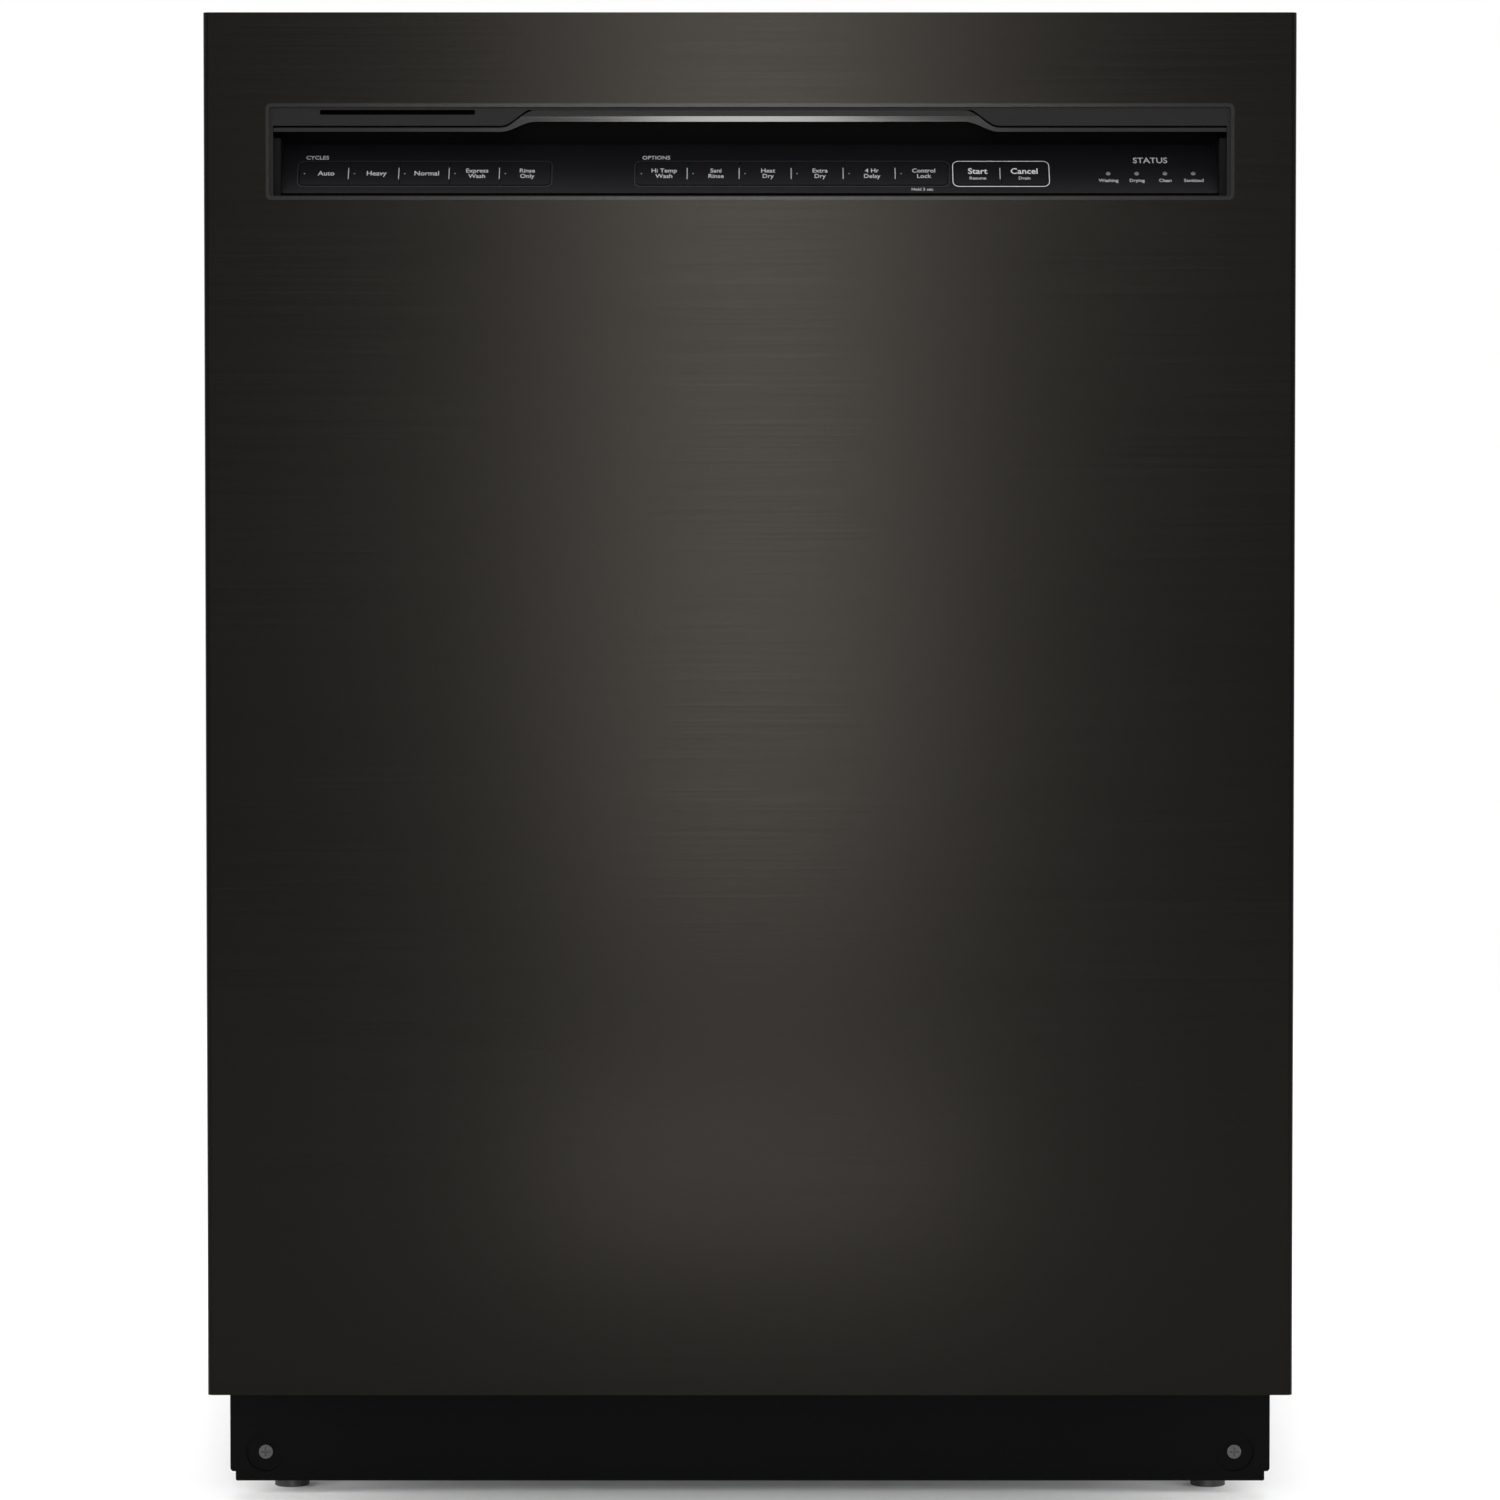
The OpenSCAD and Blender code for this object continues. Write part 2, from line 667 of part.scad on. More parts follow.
module tub() {
  hw = tub_hw + tub_t;
  color([0.70, 0.71, 0.72]) difference() {
    union() {
      along_y(tub_front, tub_back + tub_t)
        round_rect([-hw, tub_floor - tub_t], [hw, tub_top + tub_t], tub_r + tub_t);
      along_y(tub_front, tub_front + rim_t)
        round_rect([-hw - rim_w, tub_floor - tub_t], [hw + rim_w, tub_top + rim_w], 6);
    }
    difference() {
      along_y(tub_front - 1, tub_back)
        round_rect([-tub_hw, tub_floor], [tub_hw, tub_top], tub_r);
      // low dam at the front edge of the floor
      box([-tub_hw, tub_front, tub_floor - 5], [tub_hw, tub_front + rim_t, tub_floor + 10]);
    }
    rod_z(tub_floor - 5, tub_floor + 5, 0, sump_y, sump_r);
    box([-17, tub_front - 1, tub_top + tub_t], [17, tub_front + rim_t + 1, tub_top + rim_w + 1]);
    heater_ends() rod_z(tub_floor - 5, tub_floor + 5, 0, 0, 4.3);
    rod_z(tub_floor - 5, tub_floor + 5, float_x, float_y, 5.5);
  }
  // flanges for the upper rack's rails
  color([0.66, 0.67, 0.68]) both_sides() difference() {
    box([tub_hw - 12, tub_front + 36, rail_mid - 9], [tub_hw + 0.5, tub_back - 20, rail_mid + 9]);
    box([tub_hw - 13, tub_front + 35, rail_mid - 7.5], [tub_hw - 1, tub_back - 21.5, rail_mid + 7.5]);
  }
}

module tub_gasket() {
  g = 7;
  color([0.16, 0.16, 0.17]) difference() {
    along_y(tub_front - 0.9, tub_front + 7)
      round_rect([-tub_hw, tub_floor + 10], [tub_hw, tub_top], tub_r);
    along_y(tub_front - 2, tub_front + 8)
      round_rect([-tub_hw + g, tub_floor - 20], [tub_hw - g, tub_top - g], tub_r - 4);
    box([-tub_hw - 1, tub_front - 2, tub_floor], [tub_hw + 1, tub_front + 8, tub_floor + 24]);
  }
}

module sound_blanket() {
  hw = tub_hw + tub_t + 0.4;
  z1 = tub_top + tub_t + 0.4;
  y0 = tub_front + 42;
  color([0.20, 0.20, 0.21]) difference() {
    along_y(y0, tub_back + tub_t + 0.4 + blanket_t)
      round_rect([-hw - blanket_t, tub_floor + 12], [hw + blanket_t, z1 + blanket_t], tub_r + blanket_t);
    along_y(y0 - 1, tub_back + tub_t + 0.4)
      round_rect([-hw, tub_floor - 60], [hw, z1], tub_r + tub_t);
  }
}

// ---------------------------------------------------------------- water system

float_x = -tub_hw + 60;
float_y = tub_front + 50;
heater_r = 195;

// Both ends of the heater loop, which pass through the tub's floor
module heater_ends() {
  for (s = [-1, 1])
    translate([s * heater_r * sin(28), sump_y + heater_r * cos(28), 0]) children();
}

module heater_element() {
  z = tub_floor + 11;
  color([0.45, 0.43, 0.42]) {
    translate([0, sump_y, z]) rotate([0, 0, 118]) rotate_extrude(angle = 304)
      translate([heater_r, 0]) circle(4);
    heater_ends() {
      translate([0, 0, z]) sphere(4.8);
      rod_z(tub_floor - 22, z, 0, 0, 4);
    }
  }
}

module sump() {
  z1 = tub_floor - tub_t;
  color([0.24, 0.24, 0.25]) difference() {
    union() {
      rod_z(z1 - 3, z1, 0, sump_y, sump_r + 14);
      rod_z(z1 - 56, z1, 0, sump_y, sump_r - 2);
      rod_x(-sump_r - 34, -40, sump_y, z1 - 40, 36);
      rod_x(40, sump_r + 12, sump_y, z1 - 38, 22);
    }
    rod_z(z1 - 53, z1 + 1, 0, sump_y, sump_r - 5);
    rod_x(-sump_r - 31, -30, sump_y, z1 - 40, 33);
    rod_x(40, sump_r + 13, sump_y, z1 - 38, 19);
    rod_x(-sump_r - 35, -sump_r - 25, sump_y, z1 - 40, 6);
  }
  // post that feeds and carries the lower spray arm
  color([0.30, 0.30, 0.31]) {
    rod_z(z1 - 54, lower_arm_z + arm_t + 3, 0, sump_y, 10);
    rod_z(z1 - 54, lower_arm_z - 6, 0, sump_y, 16);
    rod_z(lower_arm_z + arm_t + 0.3, lower_arm_z + arm_t + 3, 0, sump_y, 14);
  }
}

module filter_plate() {
  color([0.34, 0.35, 0.36]) difference() {
    rod_z(tub_floor, tub_floor + 2, 0, sump_y, sump_r + 10);
    rod_z(tub_floor - 1, tub_floor + 3, 0, sump_y, 16.5);
    rod_z(tub_floor - 1, tub_floor + 3, cup_x, sump_y, cup_r + 1);
    for (k = [0:5], a = [70:14:290])
      translate([0, sump_y, 0]) rotate([0, 0, a]) rod_z(tub_floor - 1, tub_floor + 3, 30 + k * 11, 0, 2.6);
  }
}

module filter_cup() {
  z0 = tub_floor - 46;
  color([0.55, 0.57, 0.60]) translate([cup_x, sump_y, 0]) {
    difference() {
      union() {
        rod_z(z0, tub_floor + 4, 0, 0, cup_r);
        rod_z(tub_floor + 2.2, tub_floor + 4.2, 0, 0, cup_r + 4);
      }
      rod_z(z0 + 2, tub_floor + 6, 0, 0, cup_r - 2);
    }
    box([-cup_r + 1, -2, tub_floor + 1], [cup_r - 1, 2, tub_floor + 14]);
  }
}

module wash_motor() {
  z = tub_floor - tub_t - 40;
  x1 = -sump_r - 34;
  color([0.30, 0.31, 0.33]) difference() {
    union() {
      rod_x(x1 - 80, x1 - 6, sump_y, z, 40);
      rod_x(x1 - 6, x1, sump_y, z, 30);
      rod_x(x1 - 88, x1 - 80, sump_y, z, 16);
    }
    rod_x(x1 - 40, x1 + 1, sump_y, z, 4 + run_fit);
    for (a = [0:30:330]) translate([0, sump_y, z]) rotate([a, 0, 0])
      box([x1 - 70, -2.5, 37], [x1 - 20, 2.5, 41]);
  }
}

module pump_impeller() {
  z = tub_floor - tub_t - 40;
  x1 = -sump_r - 34;
  color([0.75, 0.75, 0.72]) {
    rod_x(x1 - 36, x1 + 24, sump_y, z, 4);
    rod_x(x1 + 8, x1 + 11, sump_y, z, 29);
    for (a = [0:60:300]) translate([0, sump_y, z]) rotate([a, 0, 0])
      box([x1 + 10, -1.2, 2], [x1 + 22, 1.2, 28]);
  }
}

module drain_pump() {
  z = tub_floor - tub_t - 38;
  x0 = sump_r + 12;
  color([0.32, 0.33, 0.34]) {
    rod_x(x0, x0 + 14, sump_y, z, 27);
    rod_x(x0 + 14, x0 + 60, sump_y, z, 22);
    // flange and drain spigot towards the back
    difference() {
      union() {
        rod_y(sump_y + 18, sump_y + 28, x0 + 14, z - 6, 13);
        rod_y(sump_y + 27, sump_y + 66, x0 + 14, z - 6, 10);
      }
      rod_y(sump_y + 26, sump_y + 67, x0 + 14, z - 6, 7);
    }
  }
}

module inlet_valve() {
  x = -leg_x + 34;
  y = rail_front + 26;
  color([0.80, 0.80, 0.78]) {
    box([x - 18, y, rail_z0], [x + 18, y + 46, rail_z0 + 30]);
    rod_z(rail_z0 + 29, rail_z0 + 52, x, y + 26, 13);
    // threaded inlet that faces the front
    difference() {
      union() {
        rod_y(y - 24, y + 1, x, rail_z0 + 15, 9.5);
        rod_y(y - 3, y + 1, x, rail_z0 + 15, 13);
      }
      rod_y(y - 25, y - 2, x, rail_z0 + 15, 6.5);
    }
  }
}

module junction_box() {
  x = leg_x - 60;
  y = rail_front + 20;
  color([0.60, 0.61, 0.62]) difference() {
    box([x - 32, y, rail_z0], [x + 32, y + 60, rail_z0 + 42]);
    box([x - 30.5, y + 1.5, rail_z0 + 1.5], [x + 30.5, y + 58.5, rail_z0 + 40.5]);
    rod_y(y + 57, y + 61, x, rail_z0 + 21, 11.1);
  }
}

module wash_pipe() {
  color([0.62, 0.64, 0.66]) {
    rod_y(sump_y + sump_r + 12, pipe_y, 0, tub_floor + 11, pipe_r);
    rod_z(tub_floor + 11, top_arm_z + 16, 0, pipe_y, pipe_r);
    for (z = [tub_floor + 11, top_arm_z + 16]) translate([0, pipe_y, z]) sphere(pipe_r);
    rod_y(sump_y, pipe_y, 0, top_arm_z + 16, pipe_r);
    translate([0, sump_y, top_arm_z + 16]) sphere(pipe_r);
    // feed and pin of the top spray arm
    rod_z(top_arm_z - 3, top_arm_z + 16, 0, sump_y, 5);
    rod_z(top_arm_z - 3, top_arm_z - 0.4, 0, sump_y, 8);
    // branch that the upper rack's feed docks into
    rod_y(pipe_y - 24, pipe_y, 0, upper_floor - 12, pipe_r);
    rod_y(pipe_y - 28, pipe_y - 22, 0, upper_floor - 12, pipe_r + 3);
    rod_z(tub_floor + 1, tub_floor + 11, 0, sump_y + sump_r + 18, pipe_r - 1);
  }
}

module float_cap() {
  color([0.50, 0.52, 0.55]) translate([float_x, float_y, 0]) {
    difference() {
      rod_z(tub_floor + 1, tub_floor + 34, 0, 0, 20);
      rod_z(tub_floor, tub_floor + 31, 0, 0, 18);
    }
    rod_z(tub_floor - 26, tub_floor + 32, 0, 0, 4);
  }
}

// Spray arm outline with a hub, centred on its pivot
module spray_outline(len, w) {
  tip = w * 0.32;
  circle(w * 0.62);
  for (s = [-1, 1]) {
    polygon([[0, -w / 2], [s * (len / 2 - tip), -0.94 * tip], [s * (len / 2 - tip), 0.94 * tip], [0, w / 2]]);
    translate([s * (len / 2 - tip), 0]) circle(tip);
  }
}

module spray_arm(len, w, t, bore) {
  difference() {
    union() {
      linear_extrude(t) spray_outline(len, w);
      for (s = [-1, 1], k = [0:4])
        rod_z(t - 0.5, t + 1.8, s * (34 + k * (len / 2 - 56) / 4), 5 * (k % 2 * 2 - 1), 4);
    }
    rod_z(-1, t + 1, 0, 0, bore);
    for (s = [-1, 1], k = [0:4])
      rod_z(t - 2, t + 3, s * (34 + k * (len / 2 - 56) / 4), 5 * (k % 2 * 2 - 1), 1.8);
  }
}

module lower_spray_arm() {
  color([0.55, 0.57, 0.60]) translate([0, sump_y, lower_arm_z]) rotate([0, 0, 24])
    spray_arm(arm_len, arm_w, arm_t, 10 + run_fit);
}

module middle_spray_arm() {
  color([0.55, 0.57, 0.60]) translate([0, sump_y, middle_arm_z]) rotate([0, 0, -18])
    spray_arm(arm_len - 40, arm_w - 6, arm_t, 6 + run_fit);
}

module top_spray_arm() {
  // turned over, so that its nozzles face down
  color([0.55, 0.57, 0.60]) translate([0, sump_y, top_arm_z + top_arm_t]) rotate([180, 0, 35])
    spray_arm(top_arm_len, top_arm_w, top_arm_t, 5 + run_fit);
}

// ---------------------------------------------------------------- dispenser

module dispenser_body() {
  z0 = dispenser_z[0];
  z1 = dispenser_z[1];
  face = dispenser_y;
  bulge_back = face - 3;
  color([0.78, 0.79, 0.80]) difference() {
    union() {
      along_y(bulge_back, face) round_rect([-dispenser_hw, z0], [dispenser_hw, z1], 10);
      along_y(face - 36, bulge_back + 1)
        round_rect([-dispenser_hw + 6, z0 + 6], [dispenser_hw - 6, z1 - 6], 6);
      // guides at both sides of the lid
      for (x = [-82, 4]) box([x, face - 1, z0 + 6], [x + 2, face + 3, z0 + 150]);
    }
    along_y(face - 26, face + 1) round_rect([-74, z0 + 12], [-2, z0 + 76], 8);
    rod_y(face - 20, face + 1, 44, z0 + 44, 6 + run_fit);
  }
}

module detergent_lid() {
  z0 = dispenser_z[0];
  y0 = dispenser_y + slip;
  color([0.80, 0.81, 0.82]) {
    along_y(y0, y0 + 2.4) round_rect([-79.6, z0 + 8], [3.6, z0 + 80], 5);
    along_y(y0 + 2, y0 + 4.5) round_rect([-55, z0 + 62], [-21, z0 + 68], 2);
  }
}

module rinse_cap() {
  z = dispenser_z[0] + 44;
  y0 = dispenser_y + slip;
  color([0.30, 0.34, 0.42]) {
    rod_y(y0, y0 + 3, 44, z, 21);
    rod_y(y0 - 16, y0 + 1, 44, z, 6);
    box([41.5, y0 + 2, z - 17], [46.5, y0 + 5, z + 17]);
  }
}

// ---------------------------------------------------------------- racks

// Flat grid of wires in a wall along X, from z0 to z1
module wall_x(hw, y, z0, z1) {
  for (z = [z0, (z0 + z1) / 2, z1]) rod_x(-hw, hw, y, z, wire_r);
  for (x = steps(-hw + 12, hw - 12, 2 * wire_pitch)) rod_z(z0, z1, x, y + 1.6 * wire_r, wire_r);
}

// Flat grid of wires in a wall along Y, from z0 to z1
module wall_y(x, y0, y1, z0, z1) {
  for (z = [z0, (z0 + z1) / 2, z1]) rod_y(y0, y1, x, z, wire_r);
  for (y = steps(y0 + 12, y1 - 12, 2 * wire_pitch))
    rod_z(z0, z1, x - sign(x) * 1.6 * wire_r, y, wire_r);
}

// Floor of wires along Y on a few cross wires
module wire_floor(hw, y0, y1, z) {
  for (x = steps(-hw + 14, hw - 14, wire_pitch)) rod_y(y0, y1, x, z, wire_r);
  for (y = steps(y0 + 30, y1 - 30, 110)) rod_x(-hw, hw, y, z - 1.6 * wire_r, wire_r);
}

module lower_rack() {
  g = 2 * wire_r + 1;
  z0 = rack_floor + g;
  z1 = rack_floor + lower_rack_h;
  color([0.45, 0.48, 0.52]) {
    wire_floor(rack_hw, rack_front, rack_back, rack_floor);
    for (y = [rack_front, rack_back - 3.2 * wire_r])
      wall_x(rack_hw - 4 * wire_r, y + 0.8 * wire_r, z0, z1);
    for (s = [-1, 1]) {
      wall_y(s * rack_hw, rack_front, rack_back, z0, z1);
      // wheel brackets
      for (y = wheel_y) {
        side_box(s, [rack_hw - 3, y - 9, wheel_z - 8], [rack_hw + 3, y + 9, z0 - wire_r - 0.5]);
        translate([s > 0 ? 0 : -2 * rack_hw - axle_end, 0, 0])
          rod_x(rack_hw, rack_hw + axle_end, y, wheel_z, axle_r);
      }
    }
  }
}

module rack_wheels(y) {
  color([0.50, 0.53, 0.57]) both_sides() difference() {
    union() {
      rod_x(wheel_x, wheel_x + wheel_w, y, wheel_z, wheel_r - 1);
      rod_x(wheel_x + 2, wheel_x + wheel_w - 2, y, wheel_z, wheel_r);
    }
    rod_x(wheel_x - 1, wheel_x + wheel_w + 1, y, wheel_z, axle_r + run_fit);
    for (a = [0:60:300]) translate([0, y, wheel_z]) rotate([a, 0, 0])
      rod_x(wheel_x - 1, wheel_x + wheel_w + 1, 9.5, 0, 3);
  }
}

module rack_wheels_front() rack_wheels(wheel_y[0]);
module rack_wheels_rear() rack_wheels(wheel_y[1]);

module lower_tines() {
  hw = rack_hw - 24;
  color([0.45, 0.48, 0.52]) {
    rod_x(-hw, hw, tine_y, tine_z, wire_r);
    for (x = steps(-hw + 6, hw - 6, wire_pitch)) {
      rod_z(tine_z, tine_z + tine_len, x, tine_y, wire_r);
      translate([x, tine_y, tine_z + tine_len]) sphere(wire_r);
    }
  }
}

module silverware_basket() {
  x0 = basket_x[0];
  x1 = basket_x[1];
  y0 = basket_y[0];
  y1 = basket_y[1];
  z0 = basket_z;
  cell = (x1 - x0 - 2) / 3;
  color([0.50, 0.53, 0.58]) {
    difference() {
      along_z_rect([x0, y0], [x1, y1], z0, z0 + basket_h, 5);
      for (i = [0:2])
        along_z_rect([x0 + 2 + i * cell, y0 + 2], [x0 + i * cell + cell, y1 - 2], z0 + 2, z0 + basket_h + 1, 3);
      for (i = [0:2], j = [0:2], k = [0:3])
        box([x0 + i * cell + 8 + j * 18, y0 - 1, z0 + 14 + k * 25],
            [x0 + i * cell + 18 + j * 18, y1 + 1, z0 + 32 + k * 25]);
    }
    // handle over the middle
    along_y((y0 + y1) / 2 - 3, (y0 + y1) / 2 + 3) difference() {
      round_rect([x0, z0 + basket_h - 30], [x1, z0 + basket_h + 26], 12);
      round_rect([x0 + 6, z0 + basket_h - 60], [x1 - 6, z0 + basket_h + 20], 8);
    }
  }
}

// Upright prism with round corners between two corners in plan
module along_z_rect(a, b, z0, z1, r) {
  translate([0, 0, z0]) linear_extrude(z1 - z0) round_rect(a, b, r);
}

module upper_rack() {
  g = 2 * wire_r + 1;
  z0 = upper_floor + g;
  z1 = upper_floor + upper_rack_h;
  color([0.45, 0.48, 0.52]) {
    wire_floor(upper_hw - 6, rack_front, rack_back, upper_floor);
    for (y = [rack_front, rack_back - 3.2 * wire_r])
      wall_x(upper_hw - 6 - 4 * wire_r, y + 0.8 * wire_r, z0, z1);
    for (s = [-1, 1]) {
      wall_y(s * (upper_hw - 6), rack_front, rack_back, z0, z1);
      // runners that sit in the tub's rails
      side_box(s, [tub_hw - 11, rack_front + 10, rail_mid - 6], [tub_hw - 3, rack_back - 6, rail_mid + 6]);
      for (y = steps(rack_front + 40, rack_back - 40, 400))
        side_box(s, [upper_hw - 4, y - 14, rail_mid - 5], [tub_hw - 10, y + 14, rail_mid + 5]);
    }
    // feed tube and pin of the middle spray arm
    rod_y(sump_y, pipe_y - 28.5, 0, upper_floor - 12, 7);
    translate([0, sump_y, upper_floor - 12]) sphere(7);
    rod_z(middle_arm_z - 3, upper_floor - 12, 0, sump_y, 6);
    rod_z(middle_arm_z - 3, middle_arm_z - 0.4, 0, sump_y, 10);
  }
}

door_panel();
inner_door();
console_frame();
handle_lip();
control_fascia();
control_board();
key_auto();
key_heavy();
key_normal();
key_express();
key_rinse();
key_hi_temp();
key_sani_rinse();
key_heat_dry();
key_extra_dry();
key_delay();
key_lock();
key_start();
key_cancel();
dispenser_body();
detergent_lid();
rinse_cap();
latch_housing();
latch_pawl();
hinge_arms();
door_screws();
tub();
tub_gasket();
sound_blanket();
side_rails();
cross_braces();
toe_panel();
toe_screws();
mounting_brackets();
door_strike();
spring_links();
door_springs();
leg_front_left();
leg_front_right();
rear_legs();
sump();
filter_plate();
filter_cup();
wash_motor();
pump_impeller();
drain_pump();
inlet_valve();
junction_box();
wash_pipe();
heater_element();
float_cap();
lower_spray_arm();
middle_spray_arm();
top_spray_arm();
lower_rack();
lower_tines();
rack_wheels_front();
rack_wheels_rear();
silverware_basket();
upper_rack();
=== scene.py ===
"""Looks of a built-in dishwasher with a pocket-handle console.

Everything is in metres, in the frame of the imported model: +Z up, the door faces -Y,
and the origin lies on the floor at the centre of the width and depth.
"""

import json
import logging
import math
from dataclasses import dataclass, field
from enum import Enum
from typing import Iterable, Optional, Sequence, Union

import bmesh
import bpy
from mathutils import Matrix, Vector


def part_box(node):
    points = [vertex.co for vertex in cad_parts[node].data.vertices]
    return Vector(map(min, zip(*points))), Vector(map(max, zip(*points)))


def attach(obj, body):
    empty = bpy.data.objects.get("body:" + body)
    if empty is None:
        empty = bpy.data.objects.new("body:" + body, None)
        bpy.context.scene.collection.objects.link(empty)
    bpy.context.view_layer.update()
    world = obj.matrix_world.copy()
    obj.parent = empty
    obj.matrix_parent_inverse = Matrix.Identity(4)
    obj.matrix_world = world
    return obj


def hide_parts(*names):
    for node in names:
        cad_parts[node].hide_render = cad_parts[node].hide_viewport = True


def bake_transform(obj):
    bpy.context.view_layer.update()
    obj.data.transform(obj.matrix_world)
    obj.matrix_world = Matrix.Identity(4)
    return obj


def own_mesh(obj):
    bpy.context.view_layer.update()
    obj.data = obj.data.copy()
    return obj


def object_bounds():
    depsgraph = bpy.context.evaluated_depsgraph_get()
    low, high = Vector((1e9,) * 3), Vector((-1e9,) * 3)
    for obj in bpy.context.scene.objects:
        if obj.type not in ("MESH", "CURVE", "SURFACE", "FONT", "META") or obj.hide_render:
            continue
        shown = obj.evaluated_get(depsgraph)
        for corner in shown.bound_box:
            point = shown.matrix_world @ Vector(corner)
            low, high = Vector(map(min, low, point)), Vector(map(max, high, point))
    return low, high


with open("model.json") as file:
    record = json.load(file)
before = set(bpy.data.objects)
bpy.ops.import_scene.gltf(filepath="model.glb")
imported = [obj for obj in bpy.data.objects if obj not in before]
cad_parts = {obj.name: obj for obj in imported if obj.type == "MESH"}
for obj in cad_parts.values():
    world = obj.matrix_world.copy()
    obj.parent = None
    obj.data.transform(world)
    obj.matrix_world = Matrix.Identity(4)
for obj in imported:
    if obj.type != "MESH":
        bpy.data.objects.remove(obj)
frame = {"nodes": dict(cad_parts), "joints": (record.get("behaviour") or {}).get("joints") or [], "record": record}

LOG = logging.getLogger("dishwasher")
CAD_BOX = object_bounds()
MM = 0.001

Colour = tuple[float, float, float]
Point = tuple[float, float, float]


# ---------------------------------------------------------------- node trees


class Num:
    """A number socket that takes part in plain arithmetic."""

    def __init__(self, tree: bpy.types.NodeTree, socket: bpy.types.NodeSocket) -> None:
        """Wraps a socket.

        Args:
            tree: The tree that the socket belongs to.
            socket: An output socket that holds a number.
        """
        self.tree = tree
        self.socket = socket

    def _math(self, operation: str, first: object, second: object = None) -> "Num":
        """Adds a Math node.

        Args:
            operation: The Math node's operation.
            first: The first operand, a Num or a number.
            second: The second operand, or None.

        Returns:
            The node's result.
        """
        node = self.tree.nodes.new("ShaderNodeMath")
        node.operation = operation
        for socket, value in zip(node.inputs, (first, second)):
            if isinstance(value, Num):
                self.tree.links.new(value.socket, socket)
            elif value is not None:
                socket.default_value = float(value)
        return Num(self.tree, node.outputs[0])

    def __add__(self, other: object) -> "Num":
        """The sum."""
        return self._math("ADD", self, other)

    def __sub__(self, other: object) -> "Num":
        """The difference."""
        return self._math("SUBTRACT", self, other)

    def __mul__(self, other: object) -> "Num":
        """The product."""
        return self._math("MULTIPLY", self, other)

    def __truediv__(self, other: object) -> "Num":
        """The quotient."""
        return self._math("DIVIDE", self, other)

    def __rsub__(self, other: object) -> "Num":
        """The difference from a plain number."""
        return self._math("SUBTRACT", other, self)

    __radd__ = __add__
    __rmul__ = __mul__

    def above(self, limit: float) -> "Num":
        """1 where the number is greater than limit, else 0."""
        return self._math("GREATER_THAN", self, limit)

    def sine(self) -> "Num":
        """The sine of the number, in radians."""
        return self._math("SINE", self)


class Graph:
    """A node tree with one method that makes any node."""

    def __init__(self, tree: bpy.types.NodeTree) -> None:
        """Holds a tree.

        Args:
            tree: A material's or a modifier's node tree.
        """
        self.tree = tree

    def node(
        self, kind: str, settings: Optional[dict] = None, values: Optional[dict] = None
    ) -> bpy.types.Node:
        """Adds a node.

        Args:
            kind: The node's type.
            settings: Attributes that are set first; stops sets a ramp's stops.
            values: What each input socket holds, by the socket's identifier or name.

        Returns:
            The new node.
        """
        node = self.tree.nodes.new(kind)
        for key, value in (settings or {}).items():
            if key == "stops":
                self._set_stops(node.color_ramp, value)
            else:
                setattr(node, key, value)
        for key, value in (values or {}).items():
            self.feed(self._find(node.inputs, key), value)
        return node

    def feed(self, socket: bpy.types.NodeSocket, value: object) -> None:
        """Links a socket to a value, or sets it.

        Args:
            socket: The input socket.
            value: A Num, a socket, or a plain value.
        """
        if isinstance(value, Num):
            self.tree.links.new(value.socket, socket)
        elif isinstance(value, bpy.types.NodeSocket):
            self.tree.links.new(value, socket)
        elif socket.type == "RGBA" and len(value) == 3:
            socket.default_value = (*value, 1.0)
        else:
            socket.default_value = value

    @staticmethod
    def _find(sockets: Iterable[bpy.types.NodeSocket], key: str) -> bpy.types.NodeSocket:
        """Finds an input socket.

        Args:
            sockets: The node's inputs.
            key: The socket's identifier, or else its name.

        Returns:
            The socket.
        """
        for socket in sockets:
            if socket.identifier == key:
                return socket
        return next(s for s in sockets if s.name == key)

    @staticmethod
    def _set_stops(ramp: bpy.types.ColorRamp, stops: Sequence[tuple[float, Colour]]) -> None:
        """Gives a ramp its stops.

        Args:
            ramp: The colour ramp.
            stops: Each stop's place and colour.
        """
        for i, (place, colour) in enumerate(stops):
            stop = ramp.elements[i] if i < 2 else ramp.elements.new(place)
            stop.position = place
            stop.color = (*colour, 1.0)


